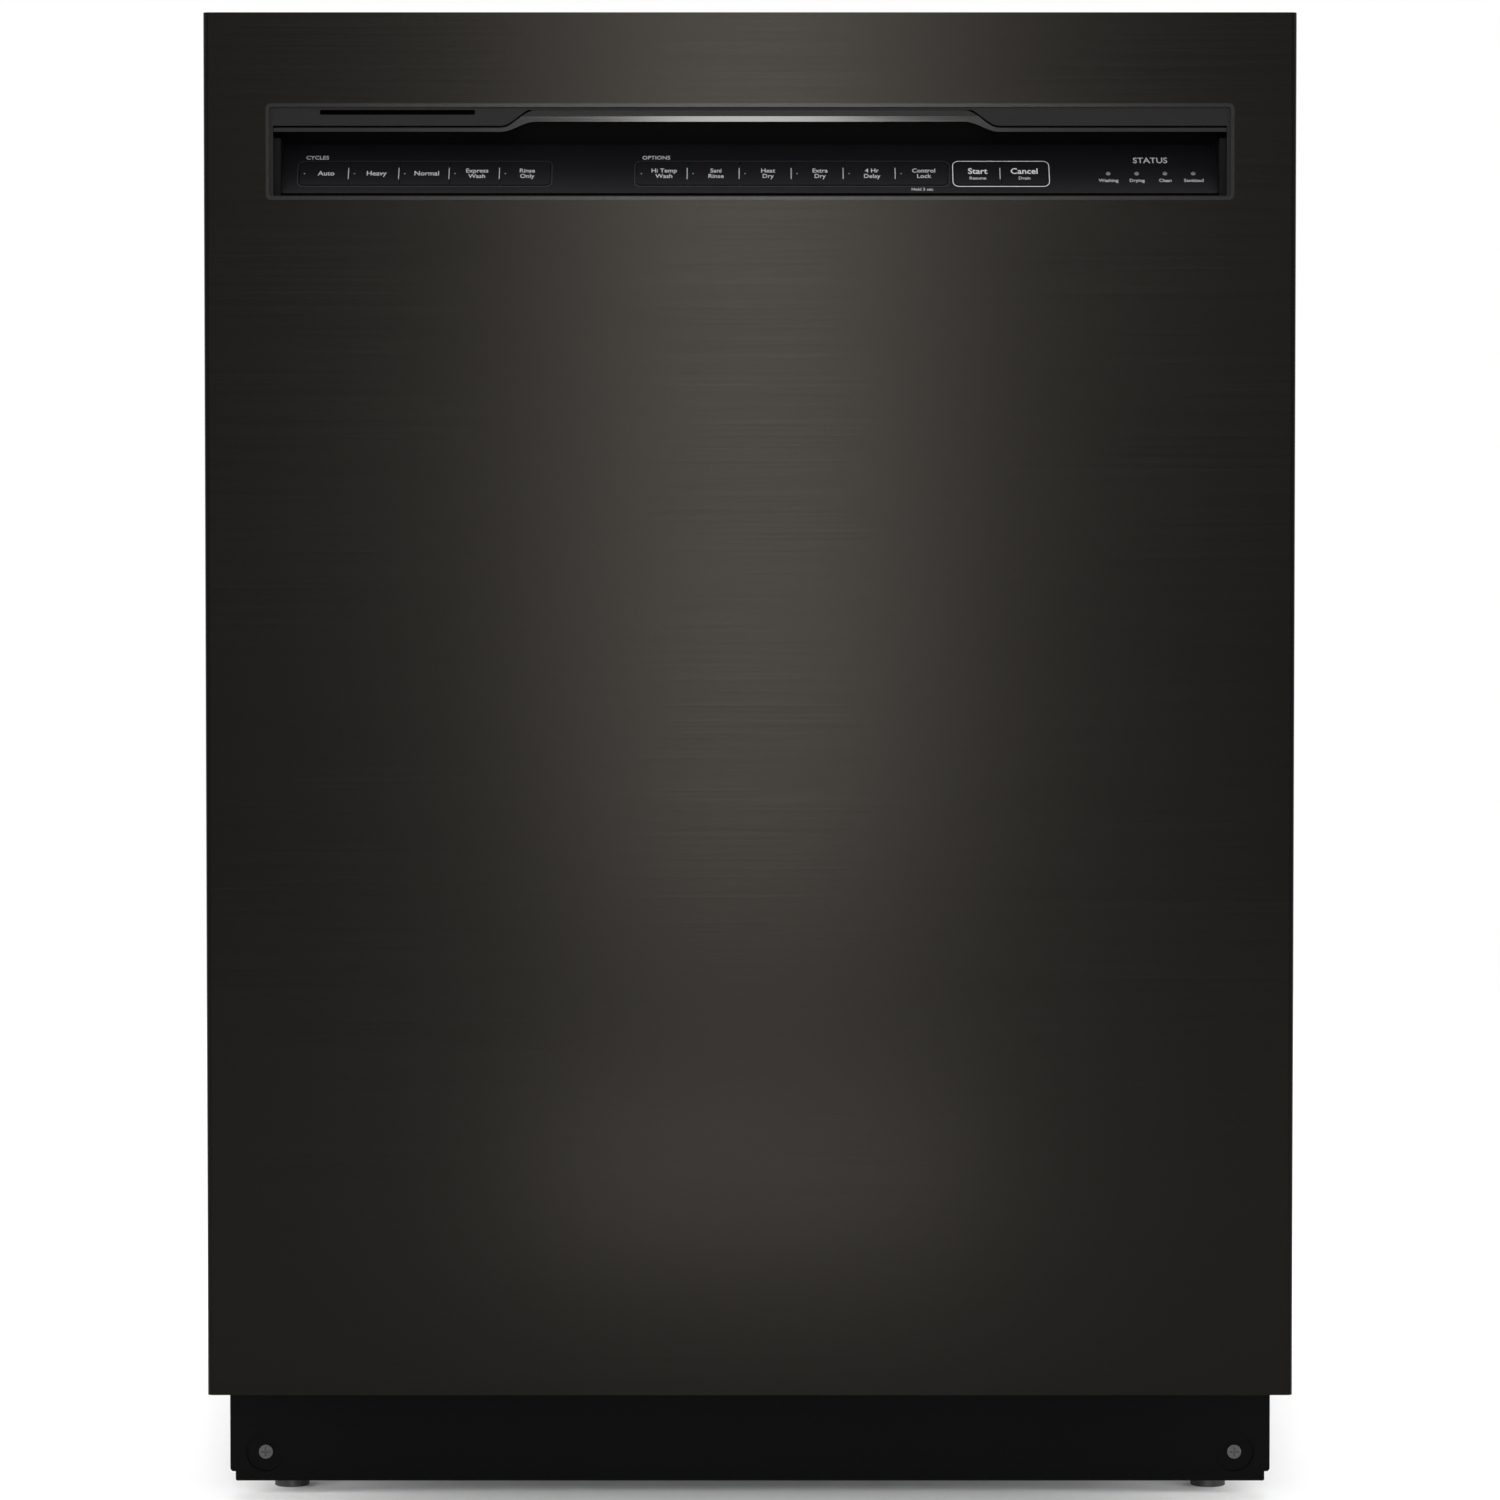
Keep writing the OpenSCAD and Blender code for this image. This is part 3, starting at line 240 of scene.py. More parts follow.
class Paint(Graph):
    """A material under construction, around one Principled shader."""

    def __init__(self, name: str, constants: dict[str, object]) -> None:
        """Starts a material.

        Args:
            name: The material's name.
            constants: Values set directly on the shader's sockets.
        """
        self.material = bpy.data.materials.new(name)
        self.material.use_nodes = True
        super().__init__(self.material.node_tree)
        self.tree.nodes.clear()
        self.shader = self.node("ShaderNodeBsdfPrincipled", None, constants)
        self.node("ShaderNodeOutputMaterial", None, {"Surface": self.shader.outputs[0]})
        self.point = self.node("ShaderNodeTexCoord").outputs["Object"]

    def axes(self) -> tuple[Num, Num, Num]:
        """The three object coordinates as numbers."""
        split = self.node("ShaderNodeSeparateXYZ", None, {"Vector": self.point})
        return tuple(Num(self.tree, s) for s in split.outputs)

    def noise(self, stretch: Point, detail: float = 2.0, roughness: float = 0.5) -> Num:
        """Noise with its own density along each axis.

        Args:
            stretch: Features per metre along X, Y and Z.
            detail: Number of finer layers.
            roughness: Strength of the finer layers.

        Returns:
            A number from 0 to 1, with its middle near 0.5.
        """
        scaled = self.node(
            "ShaderNodeVectorMath",
            {"operation": "MULTIPLY"},
            {"Vector": self.point, "Vector_001": stretch},
        )
        texture = self.node(
            "ShaderNodeTexNoise",
            None,
            {
                "Vector": scaled.outputs[0],
                "Scale": 1.0,
                "Detail": detail,
                "Roughness": roughness,
            },
        )
        return Num(self.tree, texture.outputs[0])

    def cells(self, per_metre: float) -> Num:
        """Voronoi cells of random grey.

        Args:
            per_metre: Cells per metre.

        Returns:
            A number from 0 to 1, the same all over a cell.
        """
        texture = self.node(
            "ShaderNodeTexVoronoi", None, {"Vector": self.point, "Scale": per_metre}
        )
        grey = self.node("ShaderNodeSeparateXYZ", None, {"Vector": texture.outputs["Color"]})
        return Num(self.tree, grey.outputs[0])

    def blend(self, factor: Num, low: object, high: object) -> bpy.types.NodeSocket:
        """A colour between low and high.

        Args:
            factor: 0 for low and 1 for high.
            low: A colour or a colour socket.
            high: A colour or a colour socket.

        Returns:
            The mixed colour's socket.
        """
        mix = self.node(
            "ShaderNodeMix",
            {"data_type": "RGBA"},
            {"Factor_Float": factor, "A_Color": low, "B_Color": high},
        )
        return mix.outputs[2]

    def ramp(self, factor: Num, stops: Sequence[tuple[float, Colour]]) -> bpy.types.NodeSocket:
        """A colour ramp's result."""
        return self.node("ShaderNodeValToRGB", {"stops": stops}, {"Fac": factor}).outputs[0]

    def finish(
        self,
        colour: bpy.types.NodeSocket,
        roughness: Union[Num, float],
        relief: Optional[Num] = None,
        depth: float = 0.0,
        **varying: object,
    ) -> bpy.types.Material:
        """Feeds the shader.

        Args:
            colour: The base colour.
            roughness: The roughness.
            relief: Height of the surface's small detail, from 0 to 1.
            depth: The relief's height in metres.
            varying: Values of other sockets, with _ for a space.

        Returns:
            The finished material.
        """
        self.feed(self.shader.inputs["Base Color"], colour)
        self.feed(self.shader.inputs["Roughness"], roughness)
        for key, value in varying.items():
            self.feed(self.shader.inputs[key.replace("_", " ")], value)
        if relief is not None:
            bump = self.node(
                "ShaderNodeBump",
                None,
                {"Strength": 1.0, "Distance": depth, "Height": relief},
            )
            self.feed(self.shader.inputs["Normal"], bump.outputs[0])
        return self.material


# ---------------------------------------------------------------- finishes


BUILT: dict["Finish", bpy.types.Material] = {}


@dataclass(frozen=True)
class Finish:
    """What every finish has: a name and a colour."""

    name: str
    colour: Colour

    def shade(self, amount: float) -> Colour:
        """The finish's colour times amount."""
        return tuple(min(1.0, c * amount) for c in self.colour)

    def material(self) -> bpy.types.Material:
        """The finish's material, built once."""
        return BUILT.get(self) or BUILT.setdefault(self, self.build())

    def build(self) -> bpy.types.Material:
        """Builds the material."""
        raise NotImplementedError


@dataclass(frozen=True)
class BrushedSheet(Finish):
    """Stainless sheet brushed along X."""

    roughness: float = 0.32
    contrast: float = 0.16
    groove: float = 0.00002
    grain: Point = (5.0, 5.0, 1500.0)

    def build(self) -> bpy.types.Material:
        """Builds the material from long scratches, fine hairlines and faint clouds."""
        paint = Paint(self.name, {"Metallic": 1.0})
        long_lines = paint.noise(self.grain, 4.0, 0.6)
        hairlines = paint.noise(tuple(3.2 * g for g in self.grain), 2.0)
        cloud = paint.noise((2.5, 2.5, 3.5), 2.0)
        lines = long_lines * 0.6 + hairlines * 0.4
        colour = paint.blend(
            lines + (cloud - 0.5) * 0.25,
            self.shade(1 - self.contrast),
            self.shade(1 + self.contrast),
        )
        rough = self.roughness + (lines - 0.5) * 0.18 + (cloud - 0.5) * 0.05
        return paint.finish(colour, rough, lines, self.groove)


@dataclass(frozen=True)
class LipMetal(Finish):
    """Dark metal lip whose rolled lower edge carries a painted highlight, with painted shade above it."""

    # height below which the lip gets its painted highlight
    highlight_top: float = 0.0

    def build(self) -> bpy.types.Material:
        """Builds the material, with a painted highlight (brighter colour) below the given height and painted shade
        (colour times 0.3) above it; the surface is also smoother below that height.
        """
        paint = Paint(self.name, {"Metallic": 1.0})
        lines = paint.noise((6.0, 1200.0, 1200.0), 3.0)
        above = paint.axes()[2].above(self.highlight_top)
        bright = paint.blend(lines, self.shade(0.88), self.shade(1.12))
        # painted highlight on the lip's lower edge and painted shade above it
        colour = paint.blend(above, bright, self.shade(0.3))
        rough = 0.12 + (lines - 0.5) * 0.06 + above * 0.18
        return paint.finish(colour, rough, lines, 0.00001)


@dataclass(frozen=True)
class MouldedPlastic(Finish):
    """Moulded plastic with a fine spark-eroded grain."""

    roughness: float = 0.45
    grain: float = 1400.0
    depth: float = 0.00003
    gloss: float = 0.0
    specular: float = 0.5

    def build(self) -> bpy.types.Material:
        """Builds the material from a grain, faint flow marks and handling marks."""
        paint = Paint(
            self.name,
            {"Coat Weight": self.gloss, "Coat Roughness": 0.2, "Specular IOR Level": self.specular},
        )
        grain = paint.noise((self.grain,) * 3, 3.0)
        flow = paint.noise((9.0, 9.0, 22.0), 3.0)
        colour = paint.blend(flow, self.shade(0.86), self.shade(1.14))
        rough = self.roughness + (flow - 0.5) * 0.12 + (grain - 0.5) * 0.1
        return paint.finish(colour, rough, grain, self.depth)


@dataclass(frozen=True)
class BezelledPlastic(MouldedPlastic):
    """Black plastic whose foremost rim is a dark metal bezel, with painted shade on the plastic inside the pocket.
    """

    rim: Colour = (0.018, 0.0175, 0.0168)
    rim_back: float = 0.0
    pocket_front: float = 0.0

    def build(self) -> bpy.types.Material:
        """Builds the material, with the metal in front of rim_back along Y and painted shade (colour times 0.12)
        on the plastic behind pocket_front, which is also rougher.
        """
        paint = Paint(self.name, {"Specular IOR Level": self.specular})
        grain = paint.noise((self.grain,) * 3, 3.0)
        lines = paint.noise((6.0, 6.0, 1600.0), 3.0)
        flow = paint.noise((9.0, 9.0, 22.0), 3.0)
        behind = paint.axes()[1].above(self.rim_back)
        metal = paint.blend(lines, tuple(0.8 * c for c in self.rim), self.rim)
        # painted shade: the plastic behind pocket_front, deep in the handle pocket, is darkened
        pocket_shade_mask = paint.axes()[1].above(self.pocket_front)
        plastic = paint.blend(
            pocket_shade_mask, paint.blend(flow, self.shade(0.86), self.shade(1.14)), self.shade(0.12)
        )
        rough = behind * (self.roughness - 0.24) + 0.24 + (lines - 0.5) * 0.1 + pocket_shade_mask * 0.3
        return paint.finish(
            paint.blend(behind, metal, plastic), rough, grain, self.depth, Metallic=1 - behind
        )


@dataclass(frozen=True)
class ZincSheet(Finish):
    """Galvanised or plated steel with a spangle of crystal cells."""

    roughness: float = 0.38
    spangle: float = 90.0

    def build(self) -> bpy.types.Material:
        """Builds the material from spangle cells and fine scratches."""
        paint = Paint(self.name, {"Metallic": 0.95})
        cell = paint.cells(self.spangle)
        scratch = paint.noise((40.0, 700.0, 60.0), 3.0)
        dirt = paint.noise((14.0, 14.0, 14.0), 4.0)
        tone = cell * 0.6 + dirt * 0.4
        colour = paint.blend(tone, self.shade(0.72), self.shade(1.18))
        rough = self.roughness + (cell - 0.5) * 0.16 + (scratch - 0.5) * 0.1
        return paint.finish(colour, rough, scratch, 0.00002)


@dataclass(frozen=True)
class CastMetal(Finish):
    """Sand-cast metal with a coarse skin."""

    def build(self) -> bpy.types.Material:
        """Builds the material from a pebbled skin."""
        paint = Paint(self.name, {"Metallic": 0.7})
        skin = paint.noise((420.0,) * 3, 4.0, 0.65)
        dust = paint.noise((18.0,) * 3, 3.0)
        colour = paint.blend(dust, self.shade(0.7), self.shade(1.25))
        return paint.finish(colour, 0.55 + (skin - 0.5) * 0.2, skin, 0.00025)


@dataclass(frozen=True)
class NylonCoat(Finish):
    """Dipped nylon on wire, slightly wavy and glossy."""

    def build(self) -> bpy.types.Material:
        """Builds the material from an orange-peel skin."""
        paint = Paint(self.name, {"Coat Weight": 0.35, "Coat Roughness": 0.18})
        peel = paint.noise((330.0,) * 3, 2.0)
        tone = paint.noise((12.0,) * 3, 2.0)
        colour = paint.blend(tone, self.shade(0.88), self.shade(1.12))
        return paint.finish(colour, 0.36 + (peel - 0.5) * 0.12, peel, 0.00008)


@dataclass(frozen=True)
class SealRubber(Finish):
    """Black extruded rubber with a dusty bloom."""

    def build(self) -> bpy.types.Material:
        """Builds the material from extrusion lines and a pale bloom."""
        paint = Paint(self.name, {"Specular IOR Level": 0.3})
        skin = paint.noise((900.0, 160.0, 900.0), 3.0)
        bloom = paint.noise((26.0,) * 3, 4.0)
        colour = paint.blend(bloom, self.shade(0.75), self.shade(1.6))
        return paint.finish(colour, 0.72 + (bloom - 0.5) * 0.2, skin, 0.00006)


@dataclass(frozen=True)
class FibreBlanket(Finish):
    """Matted fibre blanket with a bitumen-dark face."""

    def build(self) -> bpy.types.Material:
        """Builds the material from tangled fibres and lint."""
        paint = Paint(
            self.name, {"Sheen Weight": 0.06, "Sheen Roughness": 0.6, "Specular IOR Level": 0.2}
        )
        across = paint.noise((260.0, 1100.0, 300.0), 4.0, 0.7)
        along = paint.noise((1100.0, 260.0, 900.0), 4.0, 0.7)
        lint = paint.noise((60.0,) * 3, 5.0, 0.7)
        fibre = across * 0.5 + along * 0.5
        colour = paint.blend((fibre - 0.5) * 1.6 + lint, self.shade(0.55), self.shade(1.5))
        return paint.finish(colour, 0.9 + (lint - 0.5) * 0.1, fibre + lint * 0.6, 0.0009)


@dataclass(frozen=True)
class CircuitLaminate(Finish):
    """Circuit board with copper tracks under green lacquer."""

    def build(self) -> bpy.types.Material:
        """Builds the material from two crossing sets of tracks."""
        paint = Paint(self.name, {"Coat Weight": 0.4, "Coat Roughness": 0.15})
        x, _, z = paint.axes()
        wander = paint.noise((60.0, 60.0, 60.0), 1.0)
        tracks = ((x * 900 + wander * 9).sine() * (z * 1100 + wander * 7).sine()).above(0.45)
        colour = paint.blend(tracks, self.colour, (0.11, 0.30, 0.10))
        return paint.finish(colour, 0.42 + wander * 0.1, tracks, 0.00005)


@dataclass(frozen=True)
class HeatStain(Finish):
    """Heater sheath stained blue and straw by heat."""

    def build(self) -> bpy.types.Material:
        """Builds the material from bands of temper colour."""
        paint = Paint(self.name, {"Metallic": 1.0})
        band = paint.noise((22.0,) * 3, 3.0)
        scale = paint.noise((700.0,) * 3, 3.0)
        colour = paint.ramp(
            band,
            ((0.3, (0.16, 0.15, 0.18)), (0.5, self.colour), (0.7, (0.38, 0.30, 0.18))),
        )
        return paint.finish(colour, 0.34 + (scale - 0.5) * 0.25, scale, 0.00003)


@dataclass(frozen=True)
class SieveMesh(Finish):
    """Etched sieve with rows of fine holes."""

    pitch: float = 0.0016

    def build(self) -> bpy.types.Material:
        """Builds the material from a grid of holes, with painted shade in each hole."""
        paint = Paint(self.name, {"Metallic": 0.6})
        turn = 2 * math.pi / self.pitch
        x, y, z = paint.axes()
        holes = ((x * turn).sine() * (y * turn).sine() + (z * turn).sine()).above(0.55)
        worn = paint.noise((50.0,) * 3, 3.0)
        # painted shade: each hole is coloured dark instead of being cut through
        colour = paint.blend(holes, self.shade(1.1), self.shade(0.18))
        return paint.finish(colour, 0.4 + worn * 0.15, 1 - holes, 0.0002)


@dataclass(frozen=True)
class PrintedInk(Finish):
    """Pad-printed ink with a faintly uneven cover."""

    def build(self) -> bpy.types.Material:
        """Builds the material from the ink's uneven cover."""
        paint = Paint(self.name, {})
        cover = paint.noise((1800.0,) * 3, 2.0)
        colour = paint.blend(cover, self.shade(0.85), self.shade(1.0))
        return paint.finish(colour, 0.5 + (cover - 0.5) * 0.1)


@dataclass(frozen=True)
class StudioFloor(Finish):
    """Plain pale floor."""

    def build(self) -> bpy.types.Material:
        """Builds the material from a hint of unevenness."""
        paint = Paint(self.name, {"Specular IOR Level": 0.2})
        cloud = paint.noise((0.7,) * 3, 2.0)
        colour = paint.blend(cloud, self.shade(0.99), self.shade(1.01))
        return paint.finish(colour, 0.75)


# Y of the bezel's back, Y where the pocket and its painted shade start, and Z where the lip's painted highlight
# ends.
STEEL_BACK = -0.3103
POCKET_FRONT = -0.3090
LIP_HIGHLIGHT_TOP = 0.7807

FINISHES: dict[str, Finish] = {
    "door_steel": BrushedSheet("door_steel", (0.0086, 0.0079, 0.0069), 0.22, 0.10),
    "liner_steel": BrushedSheet(
        "liner_steel", (0.52, 0.53, 0.54), 0.26, 0.06, 0.00001, (7, 7, 600)
    ),
    "console_plastic": BezelledPlastic(
        "console_plastic",
        (0.0045, 0.0045, 0.005),
        0.42,
        specular=0.09,
        rim_back=STEEL_BACK,
        pocket_front=POCKET_FRONT,
    ),
    "lip_metal": LipMetal("lip_metal", (0.027, 0.0265, 0.026), LIP_HIGHLIGHT_TOP),
    "fascia_plastic": MouldedPlastic(
        "fascia_plastic", (0.0046, 0.0044, 0.0052), 0.34, 2200.0, 0.00001, specular=0.13
    ),
    "key_plastic": MouldedPlastic(
        "key_plastic", (0.005, 0.0048, 0.0056), 0.32, 2200.0, 0.00001, specular=0.13
    ),
    "board_epoxy": CircuitLaminate("board_epoxy", (0.02, 0.11, 0.035)),
    "dispenser_plastic": MouldedPlastic("dispenser_plastic", (0.46, 0.47, 0.48), 0.4),
    "cap_plastic": MouldedPlastic("cap_plastic", (0.03, 0.07, 0.22), 0.3, gloss=0.5),
    "latch_plastic": MouldedPlastic("latch_plastic", (0.06, 0.06, 0.065), 0.5),
    "plain_steel": ZincSheet("plain_steel", (0.48, 0.48, 0.49), 0.3, 400.0),
    "galvanised": ZincSheet("galvanised", (0.44, 0.45, 0.46)),
    "spring_steel": ZincSheet("spring_steel", (0.40, 0.40, 0.42), 0.28, 900.0),
    "toe_metal": MouldedPlastic(
        "toe_metal", (0.0009, 0.0009, 0.0009), 0.5, 900.0, 0.00004, specular=0.045
    ),
    "seal_rubber": SealRubber("seal_rubber", (0.018, 0.018, 0.019)),
    "blanket_felt": FibreBlanket("blanket_felt", (0.030, 0.030, 0.032)),
    "leg_metal": ZincSheet("leg_metal", (0.07, 0.07, 0.072), 0.45, 300.0),
    "sump_plastic": MouldedPlastic("sump_plastic", (0.10, 0.105, 0.11), 0.48),
    "filter_mesh": SieveMesh("filter_mesh", (0.33, 0.35, 0.38)),
    "motor_metal": CastMetal("motor_metal", (0.15, 0.16, 0.17)),
    "pump_plastic": MouldedPlastic("pump_plastic", (0.48, 0.48, 0.46), 0.45),
    "spray_plastic": MouldedPlastic("spray_plastic", (0.21, 0.23, 0.26), 0.38, 900.0),
    "heater_metal": HeatStain("heater_metal", (0.30, 0.27, 0.25)),
    "rack_coating": NylonCoat("rack_coating", (0.20, 0.235, 0.28)),
    "wheel_plastic": MouldedPlastic("wheel_plastic", (0.24, 0.27, 0.31), 0.42),
}
PALE_INK = PrintedInk("pale_ink", (0.31, 0.31, 0.32))
DIM_INK = PrintedInk("dim_ink", (0.014, 0.014, 0.015))
BRIGHT_INK = PrintedInk("bright_ink", (0.44, 0.44, 0.45))
LAMP_INK = PrintedInk("lamp_lens", (0.10, 0.104, 0.112))


# ---------------------------------------------------------------- meshes


class Piece:
    """One visible piece: faces in several finishes that ride on one body."""

    def __init__(self, name: str) -> None:
        """Starts an empty piece.

        Args:
            name: The piece's name.
        """
        self.name = name
        self.mesh = bmesh.new()
        self.finishes: list[Finish] = []

    def index_of(self, finish: Finish) -> int:
        """The material index of a finish.

        Args:
            finish: A finish of the piece, added if it is new.

        Returns:
            Its place in the piece's list of finishes.
        """
        if finish not in self.finishes:
            self.finishes.append(finish)
        return self.finishes.index(finish)

    def add(self, mesh: bpy.types.Mesh, finish: Finish, place: Matrix = Matrix()) -> None:
        """Adds a mesh and deletes it.

        Args:
            mesh: What to add.
            finish: Its finish.
            place: Where it goes.
        """
        mesh.transform(place)
        count = len(self.mesh.faces)
        self.mesh.from_mesh(mesh)
        self.mesh.faces.ensure_lookup_table()
        for face in self.mesh.faces[count:]:
            face.material_index = self.index_of(finish)
        bpy.data.meshes.remove(mesh)

    def band(self, loops: Sequence[Sequence[Vector]], finish: Finish, closed: bool) -> None:
        """Joins equally long rings of points with faces.

        Args:
            loops: The rings, in order.
            finish: The faces' finish.
            closed: Whether the last ring joins the first.
        """
        rings = [[self.mesh.verts.new(p) for p in loop] for loop in loops]
        pairs = list(zip(rings, rings[1:])) + ([(rings[-1], rings[0])] if closed else [])
        for low, high in pairs:
            for i in range(len(low)):
                j = (i + 1) % len(low)
                face = self.mesh.faces.new((low[i], low[j], high[j], high[i]))
                face.material_index = self.index_of(finish)
        if not closed:
            for ring in (rings[0][::-1], rings[-1]):
                self.mesh.faces.new(ring).material_index = self.index_of(finish)

    def place(self, body: str, slot: str, smooth: bool = True) -> bpy.types.Object:
        """Makes the object.

        Args:
            body: The body that it rides on.
            slot: Not used.
            smooth: Whether its faces are shaded smooth where they meet at a low angle.

        Returns:
            The finished object, at the origin.
        """
        obj = self.build(smooth)
        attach(obj, body)
        LOG.info("%s rides on %s", self.name, body)
        return obj

    def build(self, smooth: bool = True) -> bpy.types.Object:
        """Makes the object without a body.

        Args:
            smooth: Whether its faces are shaded smooth where they meet at a low angle.

        Returns:
            The object, at the origin.
        """
        bmesh.ops.recalc_face_normals(self.mesh, faces=self.mesh.faces)
        data = bpy.data.meshes.new(self.name)
        self.mesh.to_mesh(data)
        self.mesh.free()
        for finish in self.finishes:
            data.materials.append(finish.material())
        if smooth:
            data.shade_smooth()
            data.set_sharp_from_angle(angle=math.radians(35))
        obj = bpy.data.objects.new(self.name, data)
        bpy.context.scene.collection.objects.link(obj)
        return obj


def lettering(text: str, height: float) -> bpy.types.Mesh:
    """Flat raised letters, centred on the origin in the XY plane.

    Args:
        text: What they say.
        height: The font's size.

    Returns:
        The letters as a mesh.
    """
    curve = bpy.data.curves.new("letters", "FONT")
    curve.body = text
    curve.size = height
    curve.align_x = "CENTER"
    curve.align_y = "CENTER"
    curve.extrude = 0.03 * MM
    curve.offset = 0.012 * height
    curve.resolution_u = 3
    obj = bpy.data.objects.new("letters", curve)
    bpy.context.scene.collection.objects.link(obj)
    graph = bpy.context.evaluated_depsgraph_get()
    mesh = bpy.data.meshes.new_from_object(obj.evaluated_get(graph))
    bpy.data.objects.remove(obj)
    bpy.data.curves.remove(curve)
    return mesh


def round_outline(width: float, height: float, radius: float, steps: int = 5) -> list[Vector]:
    """Outline of a rectangle with round corners, centred on the origin.

    Args:
        width: Its width.
        height: Its height.
        radius: Its corners' radius.
        steps: Segments in each corner.

    Returns:
        The outline's points, anticlockwise in the XY plane.
    """
    points = []
    for corner in range(4):
        sx = 1 if corner in (0, 3) else -1
        sy = 1 if corner < 2 else -1
        centre = Vector((sx * (width / 2 - radius), sy * (height / 2 - radius), 0))
        for k in range(steps + 1):
            angle = math.pi / 2 * (corner + k / steps)
            points.append(centre + radius * Vector((math.cos(angle), math.sin(angle), 0)))
    return points


def slab(
    piece: Piece, outline: Sequence[Vector], z0: float, z1: float, finish: Finish, at: Matrix
) -> None:
    """Adds a flat plate.

    Args:
        piece: What it joins.
        outline: Its outline in the XY plane.
        z0: Its back.
        z1: Its front.
        finish: Its finish.
        at: Where it goes.
    """
    piece.band([[at @ (p + Vector((0, 0, z))) for p in outline] for z in (z0, z1)], finish, False)


def ring(
    piece: Piece, size: Point, line: float, depth: float, finish: Finish, at: Matrix
) -> None:
    """Adds a thin frame with round corners.

    Args:
        piece: What it joins.
        size: Width, height and corner radius of its outside.
        line: Width of its line.
        depth: Its thickness.
        finish: Its finish.
        at: Where it goes.
    """
    width, height, radius = size
    outer = round_outline(width, height, radius)
    inner = round_outline(width - 2 * line, height - 2 * line, radius - line)
    up = Vector((0, 0, depth))
    loops = [outer, [p + up for p in outer], [p + up for p in inner], inner]
    piece.band([[at @ p for p in loop] for loop in loops], finish, True)


# ---------------------------------------------------------------- geometry recipes


class Recipe(Graph):
    """A Geometry Nodes tree with named inputs, run once into a plain mesh."""

    def __init__(self, name: str, sizes: dict[str, Union[int, float]]) -> None:
        """Starts a tree.

        Args:
            name: The tree's name.
            sizes: Its named inputs and their values.
        """
        super().__init__(bpy.data.node_groups.new(name, "GeometryNodeTree"))
        self.sizes = sizes
        face = self.tree.interface
        face.new_socket(name="Geometry", in_out="INPUT", socket_type="NodeSocketGeometry")
        for key, value in sizes.items():
            kind = "NodeSocketInt" if isinstance(value, int) else "NodeSocketFloat"
            face.new_socket(name=key, in_out="INPUT", socket_type=kind)
        face.new_socket(name="Geometry", in_out="OUTPUT", socket_type="NodeSocketGeometry")
        self.source = self.node("NodeGroupInput")

    def size(self, name: str) -> Num:
        """The named input."""
        return Num(self.tree, self.source.outputs[name])

    def vector(self, x: object, y: object, z: object) -> bpy.types.NodeSocket:
        """A vector from three numbers."""
        return self.node("ShaderNodeCombineXYZ", None, {"X": x, "Y": y, "Z": z}).outputs[0]

    def moved(
        self, geometry: bpy.types.NodeSocket, offset: object, turn: Point = (0, 0, 0)
    ) -> bpy.types.NodeSocket:
        """Geometry turned and then moved.

        Args:
            geometry: What to move.
            offset: Where to, a vector or a vector socket.
            turn: Angles about X, Y and Z, in radians.

        Returns:
            The moved geometry.
        """
        node = self.node(
            "GeometryNodeTransform",
            None,
            {"Geometry": geometry, "Translation": offset, "Rotation": turn},
        )
        return node.outputs[0]

    def joined(self, parts: Sequence[bpy.types.NodeSocket]) -> bpy.types.NodeSocket:
        """Joins geometries.

        Args:
            parts: What to join.

        Returns:
            The joined geometry.
        """
        node = self.node("GeometryNodeJoinGeometry")
        for part in parts:
            self.tree.links.new(part, node.inputs[0])
        return node.outputs[0]

    def circle(self, steps: int, radius: str) -> bpy.types.NodeSocket:
        """A circle to sweep along a path.

        Args:
            steps: Its number of points.
            radius: The named input that holds its radius.

        Returns:
            The circle's curve.
        """
        values = {"Resolution": steps, "Radius": self.size(radius)}
        return self.node("GeometryNodeCurvePrimitiveCircle", None, values).outputs[0]

    def tube(
        self, path: bpy.types.NodeSocket, profile: bpy.types.NodeSocket
    ) -> bpy.types.NodeSocket:
        """A profile swept along a path, with closed ends.

        Args:
            path: The path's curve.
            profile: The profile's curve.

        Returns:
            The swept mesh.
        """
        values = {"Curve": path, "Profile Curve": profile, "Fill Caps": True}
        return self.node("GeometryNodeCurveToMesh", None, values).outputs[0]

    def run(self, geometry: bpy.types.NodeSocket, finish: Finish) -> bpy.types.Object:
        """Ends the tree, runs it and keeps its result as a plain mesh.

        Args:
            geometry: What the tree makes.
            finish: Its finish.

        Returns:
            The object, with no modifier left.
        """
        real = self.node("GeometryNodeRealizeInstances", None, {"Geometry": geometry})
        dressed = self.node(
            "GeometryNodeSetMaterial",
            None,
            {"Geometry": real.outputs[0], "Material": finish.material()},
        )
        self.node("NodeGroupOutput", None, {"Geometry": dressed.outputs[0]})
        obj = bpy.data.objects.new(self.tree.name, bpy.data.meshes.new(self.tree.name))
        bpy.context.scene.collection.objects.link(obj)
        modifier = obj.modifiers.new("recipe", "NODES")
        modifier.node_group = self.tree
        for item in self.tree.interface.items_tree:
            if item.in_out == "INPUT" and item.name in self.sizes:
                modifier[item.identifier] = self.sizes[item.name]
        graph = bpy.context.evaluated_depsgraph_get()
        mesh = bpy.data.meshes.new_from_object(obj.evaluated_get(graph))
        obj.modifiers.remove(modifier)
        mesh.materials.clear()
        mesh.materials.append(finish.material())
        mesh.polygons.foreach_set("material_index", [0] * len(mesh.polygons))
        obj.data = mesh
        return obj


LANE_INSET = 4 * MM  # from the links' outer edge to the middle of springs and straps


